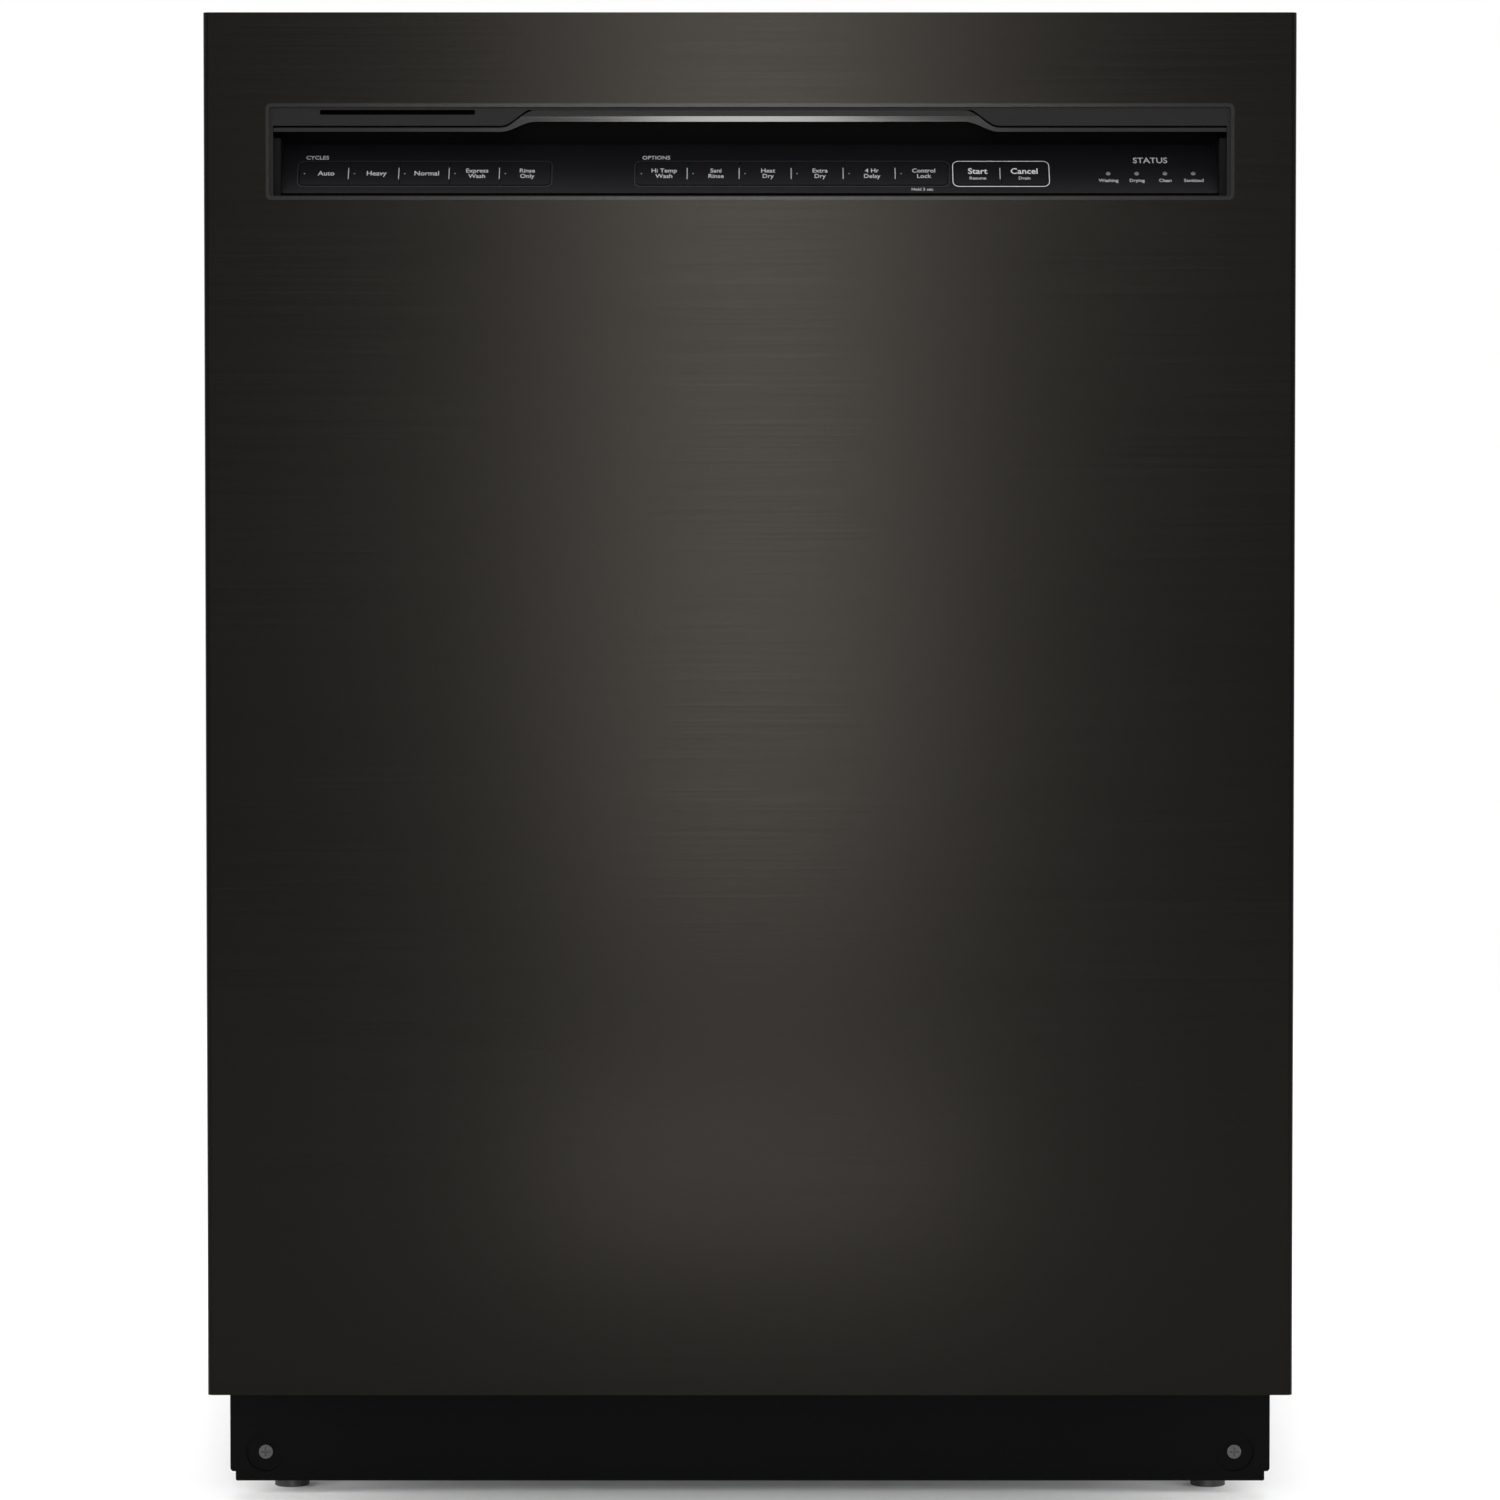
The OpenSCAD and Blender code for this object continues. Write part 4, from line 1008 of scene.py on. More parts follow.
@dataclass
class CoilSprings:
    """The two counterbalance springs, one at each side under the tub."""

    coil_r: float = 5.4 * MM
    wire_r: float = 0.8 * MM
    turns: float = 34.0

    def make(self) -> None:
        """Winds both springs and stretches them between the links and the base."""
        low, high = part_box("door_springs")
        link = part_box("spring_links")
        length = high.y - low.y
        lane = link[1].x - LANE_INSET
        z = (low.z + high.z) / 2
        recipe = Recipe(
            "coil_springs",
            {
                "Turns": self.turns,
                "Radius": self.coil_r,
                "Length": length,
                "Wire": self.wire_r,
                "Lane": lane,
            },
        )
        helix = recipe.node(
            "GeometryNodeCurveSpiral",
            None,
            {
                "Resolution": 14,
                "Rotations": recipe.size("Turns"),
                "Start Radius": recipe.size("Radius"),
                "End Radius": recipe.size("Radius"),
                "Height": recipe.size("Length"),
            },
        )
        wire = recipe.circle(8, "Wire")
        coil = recipe.tube(helix.outputs[0], wire)
        flat = (-math.pi / 2, 0, 0)
        sides = [
            recipe.moved(coil, recipe.vector(recipe.size("Lane") * s, low.y, z), flat)
            for s in (-1, 1)
        ]
        springs = recipe.run(recipe.joined(sides), FINISHES["spring_steel"])
        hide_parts("door_springs")
        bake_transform(springs)
        LOG.info("springs stretch from the links to the base")


@dataclass
class RivetRow:
    """A grid of equal rivet or pin heads on a flat face."""

    name: str
    head_r: float
    head_h: float
    rows: int
    columns: int

    def make(
        self, corner: Vector, across: Vector, along: Vector, turn: Point, finish: Finish
    ) -> bpy.types.Object:
        """Sets the heads.

        Args:
            corner: The first head's place.
            across: From the first column to the last.
            along: From the first row to the last.
            turn: Turns a head from +Z to the face's normal, in radians.
            finish: The heads' finish.

        Returns:
            The heads as one plain object.
        """
        recipe = Recipe(
            self.name,
            {
                "Radius": self.head_r,
                "Height": self.head_h,
                "Rows": self.rows,
                "Columns": self.columns,
            },
        )
        head = recipe.node(
            "GeometryNodeMeshUVSphere",
            None,
            {"Segments": 16, "Rings": 8, "Radius": recipe.size("Radius")},
        )
        flat = recipe.node(
            "GeometryNodeTransform",
            None,
            {
                "Geometry": head.outputs[0],
                "Scale": recipe.vector(1.0, 1.0, recipe.size("Height") / recipe.size("Radius")),
            },
        )
        line = recipe.node(
            "GeometryNodeMeshLine",
            None,
            {"Count": recipe.size("Columns"), "Offset": tuple(across / max(1, self.columns - 1))},
        )
        first = recipe.moved(line.outputs[0], tuple(corner))
        step = recipe.node(
            "GeometryNodeMeshLine",
            None,
            {"Count": recipe.size("Rows"), "Offset": tuple(along / max(1, self.rows - 1))},
        )
        grid = recipe.node(
            "GeometryNodeInstanceOnPoints", None, {"Points": step.outputs[0], "Instance": first}
        )
        points = recipe.node("GeometryNodeRealizeInstances", None, {"Geometry": grid.outputs[0]})
        heads = recipe.node(
            "GeometryNodeInstanceOnPoints",
            None,
            {"Points": points.outputs[0], "Instance": flat.outputs[0], "Rotation": turn},
        )
        return recipe.run(heads.outputs[0], finish)


@dataclass
class SweptSeal:
    """The tub's door seal: a bulb profile swept up one side, over the top and down."""

    bulb_r: float = 3.0 * MM
    corner_r: float = 16.0 * MM

    def make(self) -> None:
        """Sweeps the seal along the tub's opening."""
        low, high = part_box("tub_gasket")
        inset = self.bulb_r + 0.3 * MM
        y = low.y + self.bulb_r + 0.2 * MM
        recipe = Recipe(
            "door_seal",
            {
                "Half Width": high.x - inset,
                "Bottom": low.z,
                "Top": high.z - inset,
                "Bulb": self.bulb_r,
                "Corner": self.corner_r,
            },
        )
        side, low_z, high_z = (recipe.size(k) for k in ("Half Width", "Bottom", "Top"))
        corners = [
            recipe.vector(side * -1, y, low_z),
            recipe.vector(side * -1, y, high_z),
            recipe.vector(side, y, high_z),
            recipe.vector(side, y, low_z),
        ]
        legs = [
            recipe.node("GeometryNodeCurvePrimitiveLine", None, {"Start": a, "End": b}).outputs[0]
            for a, b in zip(corners, corners[1:])
        ]
        points = recipe.node(
            "GeometryNodeMergeByDistance",
            None,
            {
                "Geometry": recipe.node(
                    "GeometryNodeCurveToMesh", None, {"Curve": recipe.joined(legs)}
                ).outputs[0],
                "Distance": 0.1 * MM,
            },
        )
        path = recipe.node("GeometryNodeMeshToCurve", None, {"Mesh": points.outputs[0]})
        rounded = recipe.node(
            "GeometryNodeFilletCurve",
            {"mode": "POLY"},
            {"Curve": path.outputs[0], "Radius": recipe.size("Corner"), "Count": 8},
        )
        bulb = recipe.circle(16, "Bulb")
        tube = recipe.tube(rounded.outputs[0], bulb)
        seal = recipe.run(tube, FINISHES["seal_rubber"])
        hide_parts("tub_gasket")
        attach(seal, "cabinet")
        LOG.info("the seal follows the tub's opening")


# ---------------------------------------------------------------- console


class KeyGroup(Enum):
    """The three groups of keys."""

    CYCLES = "cycles"
    OPTIONS = "options"
    START = "start"


@dataclass(frozen=True)
class Key:
    """A key: the name in its body and node, its legend, its group and its small note."""

    name: str
    legend: str
    group: KeyGroup
    note: str = ""

    @property
    def node(self) -> str:
        """The key's CAD node."""
        return f"key_{self.name}"

    @property
    def body(self) -> str:
        """The key's body."""
        return f"body_{self.name}"


KEYS: tuple[Key, ...] = (
    Key("auto", "Auto", KeyGroup.CYCLES),
    Key("heavy", "Heavy", KeyGroup.CYCLES),
    Key("normal", "Normal", KeyGroup.CYCLES),
    Key("express", "Express\nWash", KeyGroup.CYCLES),
    Key("rinse", "Rinse\nOnly", KeyGroup.CYCLES),
    Key("hi_temp", "Hi Temp\nWash", KeyGroup.OPTIONS),
    Key("sani_rinse", "Sani\nRinse", KeyGroup.OPTIONS),
    Key("heat_dry", "Heat\nDry", KeyGroup.OPTIONS),
    Key("extra_dry", "Extra\nDry", KeyGroup.OPTIONS),
    Key("delay", "4 Hr\nDelay", KeyGroup.OPTIONS),
    Key("lock", "Control\nLock", KeyGroup.OPTIONS),
    Key("start", "Start", KeyGroup.START, "Resume"),
    Key("cancel", "Cancel", KeyGroup.START, "Drain"),
)
LIGHT_NAMES = ("Washing", "Drying", "Clean", "Sanitized")


def key_named(name: str) -> Key:
    """The key of that name."""
    return next(key for key in KEYS if key.name == name)


def keys_of(group: KeyGroup) -> list[Key]:
    """The keys of a group, from left to right."""
    return [key for key in KEYS if key.group is group]


def circle_of(radius: float, height: float, steps: int, at: Matrix) -> list[Vector]:
    """Points of a circle.

    Args:
        radius: Its radius.
        height: Its distance in front of the place.
        steps: Its number of points.
        at: Where its axis is.

    Returns:
        The points, anticlockwise.
    """
    angles = (math.tau * k / steps for k in range(steps))
    return [at @ Vector((radius * math.cos(a), radius * math.sin(a), height)) for a in angles]


@dataclass
class Console:
    """The control fascia's printing, lamps and outlines."""

    tilt: float = math.radians(34)
    fascia_t: float = 2.5 * MM
    letter: float = 4.5 * MM
    small_letter: float = 3.1 * MM
    heading: float = 3.7 * MM
    heading_up: float = 25.2 * MM
    heading_inset: float = 3.0 * MM
    status_drop: float = 2.0 * MM
    hold_note_up: float = 2.6 * MM
    ink_t: float = 0.03 * MM
    key_face: float = 0.33 * MM
    row_rise: float = 1.95 * MM
    legend_shift: float = 1.0 * MM
    start_rise: float = 1.5 * MM
    note_drop: float = 3.4 * MM
    dot_r: float = 0.5 * MM
    dot_inset: float = 2.6 * MM
    rule_w: float = 0.42 * MM
    rule_inset: float = 0.4 * MM
    line: float = 0.28 * MM
    frame_gap: float = 1.2 * MM
    frame_r: float = 3.6 * MM
    light_first: float = 199.5 * MM
    light_pitch: float = 15.8 * MM
    light_up: float = 14.0 * MM
    light_r: float = 1.3 * MM
    light_name_up: float = 8.9 * MM

    def on_fascia(self, x: float, up: float, out: float) -> Matrix:
        """A place on the fascia, with X across, Y up the slope and Z out of the face.

        Args:
            x: Distance from the middle of the door.
            up: Distance up the slope from the fascia's lower edge.
            out: Distance in front of the fascia's face.

        Returns:
            The matrix of that place.
        """
        low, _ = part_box("control_fascia")
        sin, cos = math.sin(self.tilt), math.cos(self.tilt)
        slope = Vector((0, sin, cos))
        outward = Vector((0, -cos, sin))
        origin = Vector((x, low.y, low.z + self.fascia_t * sin)) + up * slope + out * outward
        turn = Matrix((Vector((1, 0, 0)), slope, outward)).transposed().to_4x4()
        return Matrix.Translation(origin) @ turn

    def key_span(self, key: Key) -> tuple[float, float, float, float]:
        """Finds the edges of a key's face.

        Args:
            key: The key.

        Returns:
            Its left and right edges, and its lower and upper edges along the slope.
        """
        low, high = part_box(key.node)
        to_face = self.on_fascia(0, 0, 0).inverted()
        local = [to_face @ vertex.co for vertex in frame["nodes"][key.node].data.vertices]
        front = max(p.z for p in local)
        face = [p for p in local if p.z > front - 0.05 * MM]
        return low.x, high.x, min(p.y for p in face), max(p.y for p in face)

    def _write(
        self, piece: Piece, text: str, size: float, place: Point, ink: Finish = PALE_INK
    ) -> None:
        """Adds a line of lettering to a piece.

        Args:
            piece: What it joins.
            text: What it says.
            size: The font's size.
            place: Across, up the slope and out of the face.
            ink: Its finish.
        """
        piece.add(lettering(text, size), ink, self.on_fascia(*place))

    def print_key(self, key: Key) -> None:
        """Prints a key's legend, its lamp or note, and its divider.

        Args:
            key: The key.
        """
        left, right, low, high = self.key_span(key)
        middle, out = (low + high) / 2, self.key_face
        piece = Piece(f"legend_{key.name}")
        if key.group is KeyGroup.START:
            x = (left + right) / 2
            legend_at = (x, middle + self.start_rise, out)
            self._write(piece, key.legend, self.letter * 1.24, legend_at, BRIGHT_INK)
            self._write(
                piece, key.note, self.small_letter * 0.95, (x, middle - self.note_drop, out)
            )
        else:
            x = (left + right) / 2 + self.legend_shift
            rows = key.legend.split("\n")
            rises = (self.row_rise, -self.row_rise) if len(rows) == 2 else (0.0,)
            size = self.letter * (0.9 if len(rows) == 2 else 1.0)
            for row, rise in zip(rows, rises):
                self._write(piece, row, size, (x, middle + rise, out))
            self._dot(piece, left + self.dot_inset, middle, out - 0.05 * MM)
        if key is not keys_of(key.group)[-1]:
            rule = round_outline(self.rule_w, 0.5 * (high - low), 0.1 * MM, 1)
            at = self.on_fascia(right - self.rule_inset, middle, out)
            slab(piece, rule, -0.02 * MM, self.ink_t, PALE_INK, at)
        piece.place(key.body, "key_plastic", smooth=False)

    def _dot(self, piece: Piece, x: float, up: float, out: float) -> None:
        """Adds a small domed lamp to a piece.

        Args:
            piece: What it joins.
            x: Distance from the middle of the door.
            up: Distance up the slope.
            out: Distance in front of the face.
        """
        at = self.on_fascia(x, up, out)
        dome = ((1.0, 0.0), (0.8, 0.12), (0.3, 0.2))
        rings = [circle_of(r * self.dot_r, h * MM, 12, at) for r, h in dome]
        piece.band(rings, LAMP_INK, False)

    def outline(self, group: KeyGroup, finish: Finish, line: float) -> None:
        """Draws the frame round a group of keys.

        Args:
            group: The group.
            finish: The frame's ink.
            line: The frame's width.
        """
        spans = [self.key_span(key) for key in keys_of(group)]
        left, right = spans[0][0], spans[-1][1]
        low, high = spans[0][2], spans[0][3]
        gap = self.frame_gap
        piece = Piece(f"outline_{group.value}")
        size = (right - left + 2 * gap, high - low + 2 * gap, self.frame_r)
        at = self.on_fascia((left + right) / 2, (low + high) / 2, 0.0)
        ring(piece, size, line, 0.05 * MM, finish, at)
        piece.place("door", "fascia_plastic", smooth=False)

    def headings(self) -> None:
        """Prints the headings, the status lights' names and the note under the lock key."""
        piece = Piece("console_legends")
        out = self.ink_t
        for name, word in (("auto", "CYCLES"), ("hi_temp", "OPTIONS")):
            mesh = lettering(word, self.heading)
            half = max(v.co.x for v in mesh.vertices)
            x = self.key_span(key_named(name))[0] + self.heading_inset + half
            piece.add(mesh, PALE_INK, self.on_fascia(x, self.heading_up, out))
        centre = self.light_first + (len(LIGHT_NAMES) - 1) / 2 * self.light_pitch
        status_at = (centre, self.heading_up - self.status_drop, out)
        self._write(piece, "STATUS", self.heading * 1.5, status_at)
        for i, word in enumerate(LIGHT_NAMES):
            x = self.light_first + i * self.light_pitch
            self._write(piece, word, self.small_letter, (x, self.light_name_up, out))
        left, right, _, _ = self.key_span(key_named("lock"))
        note_at = ((left + right) / 2, self.hold_note_up, out)
        self._write(piece, "Hold 3 sec", self.small_letter * 0.9, note_at)
        piece.place("door", "fascia_plastic", smooth=False)

    def status_lamps(self) -> None:
        """Sets a lens over each status light pipe."""
        piece = Piece("status_lamps")
        lens = ((1.0, -0.3), (1.0, 0.02), (0.85, 0.16), (0.5, 0.26), (0.15, 0.29))
        for i in range(len(LIGHT_NAMES)):
            at = self.on_fascia(self.light_first + i * self.light_pitch, self.light_up, 0.0)
            rings = [circle_of(r * self.light_r, h * MM, 20, at) for r, h in lens]
            piece.band(rings, LAMP_INK, False)
        piece.place("door", "board_epoxy")

    def make(self) -> None:
        """Prints and dresses the whole console."""
        for key in KEYS:
            self.print_key(key)
        self.outline(KeyGroup.CYCLES, DIM_INK, self.line)
        self.outline(KeyGroup.OPTIONS, DIM_INK, self.line)
        self.outline(KeyGroup.START, BRIGHT_INK, 1.5 * self.line)
        self.headings()
        self.status_lamps()


# ---------------------------------------------------------------- soft parts and straps


@dataclass(frozen=True)
class BlanketRoom:
    """The room that the blanket fills, with the path of its wrap round the tub."""

    low: Vector
    high: Vector
    bottom: float
    thick: float
    bend: float

    @property
    def inner(self) -> float:
        """Distance from the middle of the machine to the wrap's inner face."""
        return self.high.x - self.thick

    @property
    def top(self) -> float:
        """Height of the wrap's inner face over the tub."""
        return self.high.z - self.thick

    @property
    def side(self) -> float:
        """Height of the wrap's flat sides."""
        return self.top - self.bend - self.bottom

    @property
    def arc(self) -> float:
        """Length of one bend along the path."""
        return math.pi / 2 * self.bend

    @property
    def length(self) -> float:
        """Length of the path, up one side, over the top and down the other."""
        return 2 * (self.side + self.arc + self.inner - self.bend)

    @property
    def depth(self) -> float:
        """The wrap's depth, up to the back pad."""
        return self.back_inner - self.low.y - 1 * MM

    @property
    def back_inner(self) -> float:
        """The back pad's inner face along Y."""
        return self.high.y - self.thick

    @property
    def width(self) -> float:
        """The back pad's width."""
        return 2 * self.high.x

    @property
    def height(self) -> float:
        """The back pad's height."""
        return self.high.z - self.bottom

    def station(self, s: float) -> tuple[Vector, Vector]:
        """Finds a place on the path.

        Args:
            s: Distance along the path from its left end.

        Returns:
            The point and the outward normal there.
        """
        sign = -1 if s < self.length / 2 else 1
        s = min(s, self.length - s)
        if s < self.side:
            return Vector((sign * self.inner, 0, self.bottom + s)), Vector((sign, 0, 0))
        centre = Vector((sign * (self.inner - self.bend), 0, self.top - self.bend))
        angle = min((s - self.side) / self.bend, math.pi / 2)
        out = Vector((sign * math.cos(angle), 0, math.sin(angle)))
        beyond = max(0.0, s - self.side - self.arc)
        return centre + self.bend * out - Vector((sign * beyond, 0, 0)), out

    def rounded(self, x: float, z: float) -> tuple[float, float]:
        """Draws a point of the back pad's upper corners in to the wrap's bend.

        Args:
            x: The point's place across.
            z: The point's height.

        Returns:
            The new x and z.
        """
        bend = self.bend + self.thick
        centre_x, centre_z = self.high.x - bend, self.high.z - bend
        u, v = (abs(x) - centre_x) / bend, (z - centre_z) / bend
        if u <= 0 or v <= 0:
            return x, z
        share = max(u, v) / math.hypot(u, v)
        return math.copysign(centre_x + bend * u * share, x), centre_z + bend * v * share


@dataclass
class SoundBlanket:
    """Fibre blanket that wraps the tub's sides and top, with a separate back pad."""

    thick: float = 10.4 * MM
    corner_r: float = 22.0 * MM
    lift: float = 14.0 * MM
    pin_pitch: float = 150.0 * MM
    pin_r: float = 8.0 * MM
    dimple: float = 4.5 * MM
    dimple_r: float = 24.0 * MM
    hem: float = 16.0 * MM
    step: float = 7.0 * MM

    def _columns(self, length: float) -> int:
        """How many pins go in a length."""
        return max(1, round(length / self.pin_pitch))

    def _hollow(self, s: float, t: float, s_end: float, t_end: float) -> float:
        """How far the face lies below its full thickness at a place.

        Args:
            s: Distance along the pad.
            t: Distance across the pad.
            s_end: The pad's length.
            t_end: The pad's width.

        Returns:
            The depth of the hollow there.
        """
        edge = min(s, s_end - s, t, t_end - t)
        hem = max(0.0, 1 - edge / self.hem) ** 2 * (self.dimple + 3.5 * MM)
        columns, rows = self._columns(s_end), self._columns(t_end)
        u = (s / s_end * columns) % 1 - 0.5
        v = (t / t_end * rows) % 1 - 0.5
        near = math.hypot(u * s_end / columns, v * t_end / rows)
        pin = self.dimple * math.exp(-((near / self.dimple_r) ** 2))
        waves = 0.7 * MM * (1 + math.sin(31 * s + 17 * t) * math.sin(23 * t - 9 * s))
        return min(hem + pin + waves, self.dimple + 4.5 * MM)

    def _pad(
        self, name: str, face: list[list[Vector]], back: list[list[Vector]]
    ) -> bpy.types.Object:
        """Closes a pad round its edge.

        Args:
            name: The piece's name.
            face: Rows of points of its face.
            back: Rows of points of its back, as many as the face has.

        Returns:
            The pad's object.
        """
        piece = Piece(name)
        index = piece.index_of(FINISHES["blanket_felt"])
        grids = [[[piece.mesh.verts.new(p) for p in row] for row in grid] for grid in (face, back)]
        rows, columns = len(face), len(face[0])
        for grid in grids:
            for i in range(rows - 1):
                for j in range(columns - 1):
                    corners = (grid[i][j], grid[i][j + 1], grid[i + 1][j + 1], grid[i + 1][j])
                    piece.mesh.faces.new(corners).material_index = index
        rim = [(0, j) for j in range(columns)]
        rim += [(i, columns - 1) for i in range(1, rows)]
        rim += [(rows - 1, j) for j in range(columns - 2, -1, -1)]
        rim += [(i, 0) for i in range(rows - 2, 0, -1)]
        for (a, b), (c, d) in zip(rim, rim[1:] + rim[:1]):
            corners = (grids[0][a][b], grids[0][c][d], grids[1][c][d], grids[1][a][b])
            piece.mesh.faces.new(corners).material_index = index
        return piece.place("cabinet", "blanket_felt")

    def wrap(self, room: BlanketRoom) -> None:
        """Makes the pad that goes up one side, over the top and down the other.

        Args:
            room: The room that it fills.
        """
        rows, columns = int(room.length / self.step), int(room.depth / self.step)
        spots = [room.depth * j / columns for j in range(columns + 1)]
        face, back = [], []
        for i in range(rows + 1):
            s = room.length * i / rows
            base, out = room.station(s)
            back.append([base + Vector((0, room.low.y + t, 0)) for t in spots])
            hollows = [self._hollow(s, t, room.length, room.depth) for t in spots]
            face.append([p + out * (room.thick - h) for p, h in zip(back[-1], hollows)])
        wrap = self._pad("blanket_wrap", face, back)
        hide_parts("sound_blanket")

    def back_pad(self, room: BlanketRoom) -> None:
        """Makes the pad that covers the tub's back.

        Args:
            room: The room that it fills.
        """
        rows, columns = int(room.height / self.step), int(room.width / self.step)
        spots = [room.width * j / columns for j in range(columns + 1)]
        face, back = [], []
        for i in range(rows + 1):
            up = room.height * i / rows
            places = [room.rounded(t - room.high.x, room.bottom + up) for t in spots]
            hollows = [self._hollow(up, t, room.height, room.width) for t in spots]
            face.append([Vector((x, room.high.y - h, z)) for (x, z), h in zip(places, hollows)])
            back.append([Vector((x, room.back_inner, z)) for x, z in places])
        self._pad("blanket_back", face, back)

    def _washers(self, name: str, rows: int, columns: int, *places: object) -> None:
        """Sets a grid of retaining washers.

        Args:
            name: Which face they are on.
            rows: Number of rows.
            columns: Number of columns.
            places: The first washer, the run across, the run along, and the turn.
        """
        grid = RivetRow(f"blanket_pins_{name}", self.pin_r, 0.7 * MM, rows, columns)
        pins = grid.make(*places, FINISHES["plain_steel"])
        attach(pins, "cabinet")

    def pins(self, room: BlanketRoom) -> None:
        """Sets the washers at the dimples of the sides and the back.

        Args:
            room: The room that the pads fill.
        """
        sunk = self.dimple + 0.2 * MM
        columns = self._columns(room.depth)
        pitch = room.length / self._columns(room.length)
        rows = int((room.side - pitch / 2) / pitch) + 1
        for sign, name in ((-1, "left"), (1, "right")):
            self._washers(
                name,
                rows,
                columns,
                Vector(
                    (
                        sign * (room.high.x - sunk),
                        room.low.y + room.depth / columns / 2,
                        room.bottom + pitch / 2,
                    )
                ),
                Vector((0, room.depth * (columns - 1) / columns, 0)),
                Vector((0, 0, (rows - 1) * pitch)),
                (0, math.pi / 2, 0),
            )
        across, up = self._columns(room.width), self._columns(room.height)
        self._washers(
            "back",
            up,
            across,
            Vector(
                (
                    room.width * (1 / across - 1) / 2,
                    room.high.y - sunk,
                    room.bottom + room.height / up / 2,
                )
            ),
            Vector((room.width * (across - 1) / across, 0, 0)),
            Vector((0, 0, room.height * (up - 1) / up)),
            (math.pi / 2, 0, 0),
        )
        LOG.info("blanket pins are set")

    def make(self) -> None:
        """Makes both pads and their washers in the room that the CAD blanket holds."""
        low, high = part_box("sound_blanket")
        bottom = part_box("tub")[0].z + self.lift
        room = BlanketRoom(low, high, bottom, self.thick, self.corner_r)
        self.wrap(room)
        self.back_pad(room)
        self.pins(room)


@dataclass
class SpringStraps:
    """Flat straps that join the hinge arms to the spring links."""

    width: float = 4.0 * MM
    thickness: float = 0.8 * MM
    radius: float = 22.0 * MM
    steps: int = 12

    def _ribbon(self, name: str, path: Sequence[tuple[Vector, Vector]], lane: float) -> Piece:
        """A flat ribbon at both sides.

        Args:
            name: The piece's name.
            path: Points of its middle, each with the outward normal.
            lane: Its distance from the middle of the machine.

        Returns:
            The piece, not placed yet.
        """
        piece = Piece(name)
        for sign in (-1, 1):
            loops = []
            for point, out in path:
                centre = Vector((sign * lane, point.y, point.z))
                half = Vector((self.width / 2, 0, 0))
                lift = out * self.thickness / 2
                low, high = centre - lift, centre + lift
                loops.append([low - half, low + half, high + half, high - half])
            piece.band(loops, FINISHES["seal_rubber"], False)
        return piece

    def make(self) -> None:
        """Lays the straight run to the link and the turn round the hinge arm."""
        joint = next(j for j in frame["joints"] if j["name"] == "door_hinge")
        pivot = Vector(joint["pos_m"])
        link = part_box("spring_links")
        lane = link[1].x - LANE_INSET
        top = pivot.z + self.radius
        length = link[0].y - pivot.y
        shares = [k / self.steps for k in range(self.steps + 1)]
        straight = [
            (Vector((0, pivot.y + length * share, top)), Vector((0, 0, 1))) for share in shares
        ]
        run = self._ribbon("strap_runs", straight, lane).place("links", "seal_rubber")
        travel = next(j for j in frame["joints"] if j["name"] == "spring_stretch")["range_m"][1]
        keep = (length - travel) / length
        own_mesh(run)
        turn = []
        for share in shares:
            angle = math.pi / 2 * (1 - share)
            out = Vector((0, math.cos(angle), math.sin(angle)))
            turn.append((pivot + out * self.radius, out))
        self._ribbon("strap_turns", turn, lane).place("door", "seal_rubber")


# ---------------------------------------------------------------- cabinet details


@dataclass
class Cabinet:
    """Finishes of the carried-over nodes and small hardware on the base."""

    special: dict[str, str] = field(default_factory=lambda: {"toe_screws": "leg_metal"})
    rail_rivets: int = 9
    rivet_r: float = 3.2 * MM
    rivet_h: float = 1.3 * MM
    tines: int = 15
    cap_r: float = 2.9 * MM
    cap_h: float = 3.6 * MM

    def dress(self) -> None:
        """Gives every carried-over node its finish."""
        rows = frame["record"]["subparts"]
        slots = {row["node"]: row["material_slot"] for row in rows}
        for name, obj in frame["nodes"].items():
            material = FINISHES[self.special.get(name, slots[name])].material()
            for slot in obj.material_slots:
                slot.material = material
            LOG.info("%s is dressed in %s", name, material.name)

    def rivets(self) -> None:
        """Sets rivet rows along both rails."""
        low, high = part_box("side_rails")
        for sign, name in ((-1, "left"), (1, "right")):
            heads = RivetRow(
                f"rail_rivets_{name}", self.rivet_r, self.rivet_h, 1, self.rail_rivets
            )
            row = heads.make(
                Vector((sign * high.x, low.y + 90 * MM, high.z - 9 * MM)),
                Vector((0, high.y - low.y - 120 * MM, 0)),
                Vector((0, 0, 0)),
                (0, sign * math.pi / 2, 0),
                FINISHES["plain_steel"],
            )
            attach(row, "cabinet")
        LOG.info("rail rivets are set")

    def tine_caps(self) -> None:
        """Sets a nylon cap on each folding tine."""
        low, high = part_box("lower_tines")
        caps = RivetRow("tine_caps", self.cap_r, self.cap_h, 1, self.tines).make(
            Vector((low.x + 6 * MM, (low.y + high.y) / 2, high.z - 2 * MM)),
            Vector((high.x - low.x - 12 * MM, 0, 0)),
            Vector((0, 0, 0)),
            (0, 0, 0),
            FINISHES["wheel_plastic"],
        )
        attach(caps, "tines")
        LOG.info("tine caps are set")


# ---------------------------------------------------------------- studio


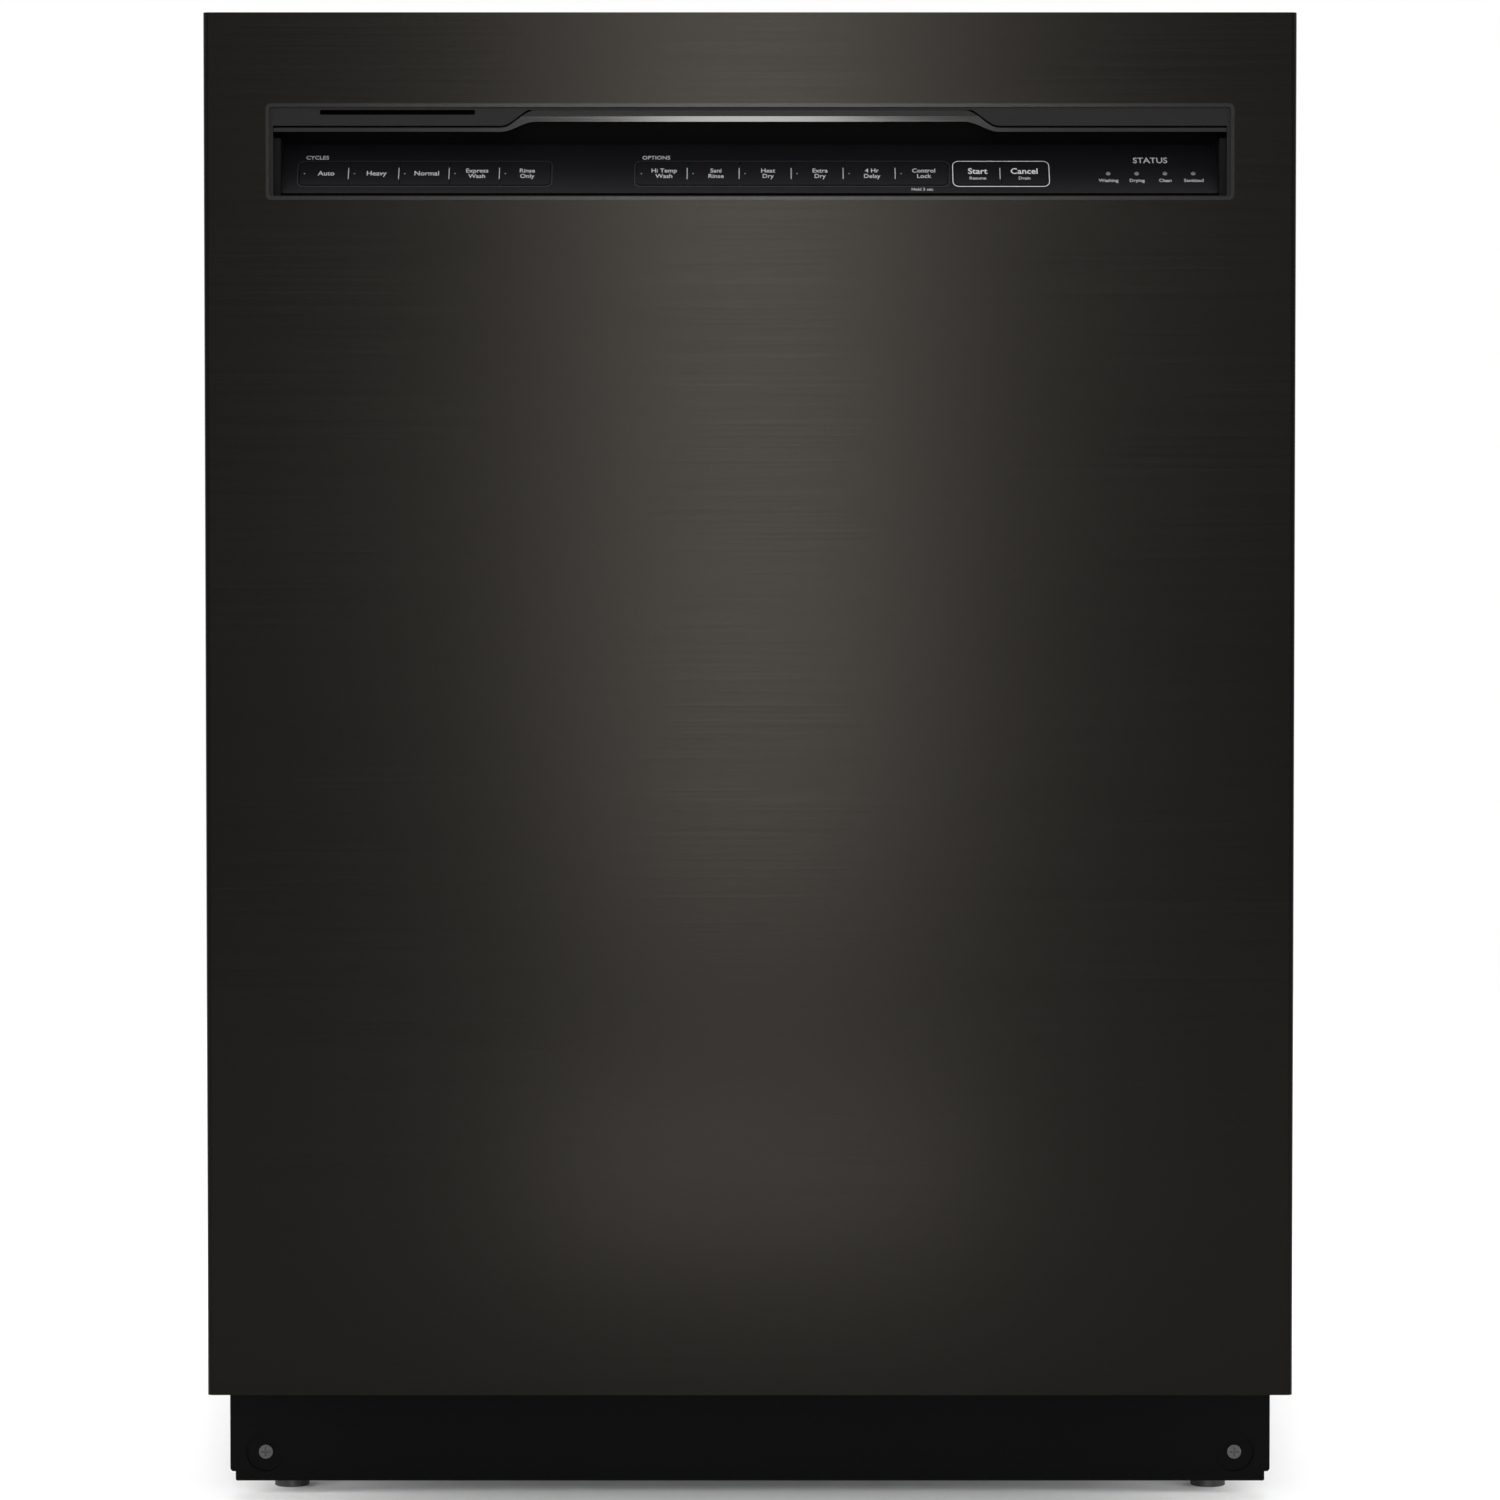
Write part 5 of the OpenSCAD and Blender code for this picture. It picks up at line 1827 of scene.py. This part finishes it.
@dataclass
class Studio:
    """Pale floor, soft lights and a camera in front of the door."""

    distance: float = 2.45
    eye: float = 0.50
    target: float = 0.4295
    lens: float = 105.8
    floor_half: float = 3.2

    def floor(self) -> None:
        """Lays the floor."""
        piece = Piece("studio_floor")
        outline = round_outline(2 * self.floor_half, 2 * self.floor_half, 0.5, 4)
        finish = StudioFloor("studio_floor", (0.90, 0.90, 0.895))
        slab(piece, outline, -0.02, 0.0, finish, Matrix())
        piece.build(smooth=False)

    def light(
        self, name: str, at: Point, aim: Point, size: tuple[float, float], power: float
    ) -> None:
        """Adds a soft rectangular light.

        Args:
            name: Its name.
            at: Where it hangs.
            aim: What it faces.
            size: Its width and height.
            power: Its power in watts.
        """
        data = bpy.data.lights.new(name, "AREA")
        data.shape = "RECTANGLE"
        data.size, data.size_y = size
        data.energy = power
        obj = bpy.data.objects.new(name, data)
        obj.location = at
        obj.rotation_euler = (Vector(aim) - Vector(at)).to_track_quat("-Z", "Y").to_euler()
        bpy.context.scene.collection.objects.link(obj)

    def camera(self) -> None:
        """Sets the camera in front of the door, aimed at its middle."""
        data = bpy.data.cameras.new("camera")
        data.lens = self.lens
        data.sensor_width = 36.0
        data.clip_end = 60.0
        obj = bpy.data.objects.new("camera", data)
        front = CAD_BOX[0][1]
        obj.location = (0, front - self.distance, self.eye)
        aim = Vector((0, front, self.target)) - Vector(obj.location)
        obj.rotation_euler = aim.to_track_quat("-Z", "Y").to_euler()
        bpy.context.scene.collection.objects.link(obj)
        bpy.context.scene.camera = obj

    def world(self) -> None:
        """Fills the surroundings with pale light."""
        world = bpy.data.worlds.new("studio")
        world.use_nodes = True
        shade = world.node_tree.nodes["Background"]
        shade.inputs[0].default_value = (1.0, 1.0, 1.0, 1.0)
        shade.inputs[1].default_value = 1.0
        bpy.context.scene.world = world
        bpy.context.scene.view_settings.view_transform = "Standard"

    def make(self) -> None:
        """Sets up the studio."""
        self.camera()
        self.world()
        self.floor()
        self.light("key_strip", (0.0, -3.4, 1.35), (0, 0, 0.55), (0.26, 2.6), 42.0)
        self.light("low_bounce", (0.0, -1.5, 0.05), (0, -0.3, 0.2), (0.34, 0.08), 0.8)
        self.light("left_fill", (-3.0, -1.4, 2.2), (0, 0, 0.4), (1.6, 1.6), 40.0)
        self.light("right_fill", (3.0, -1.4, 2.2), (0, 0, 0.4), (1.6, 1.6), 40.0)
        self.light("top_soft", (0, 0.4, 3.2), (0, 0, 0), (2.4, 2.4), 45.0)


def main() -> None:
    """Builds the studio and every sub-assembly."""
    logging.basicConfig(level=logging.INFO, format="%(name)s: %(message)s")
    Studio().make()
    cabinet = Cabinet()
    cabinet.dress()
    Console().make()
    SweptSeal().make()
    CoilSprings().make()
    SpringStraps().make()
    SoundBlanket().make()
    cabinet.rivets()
    cabinet.tine_caps()


if __name__ == "__main__":
    main()
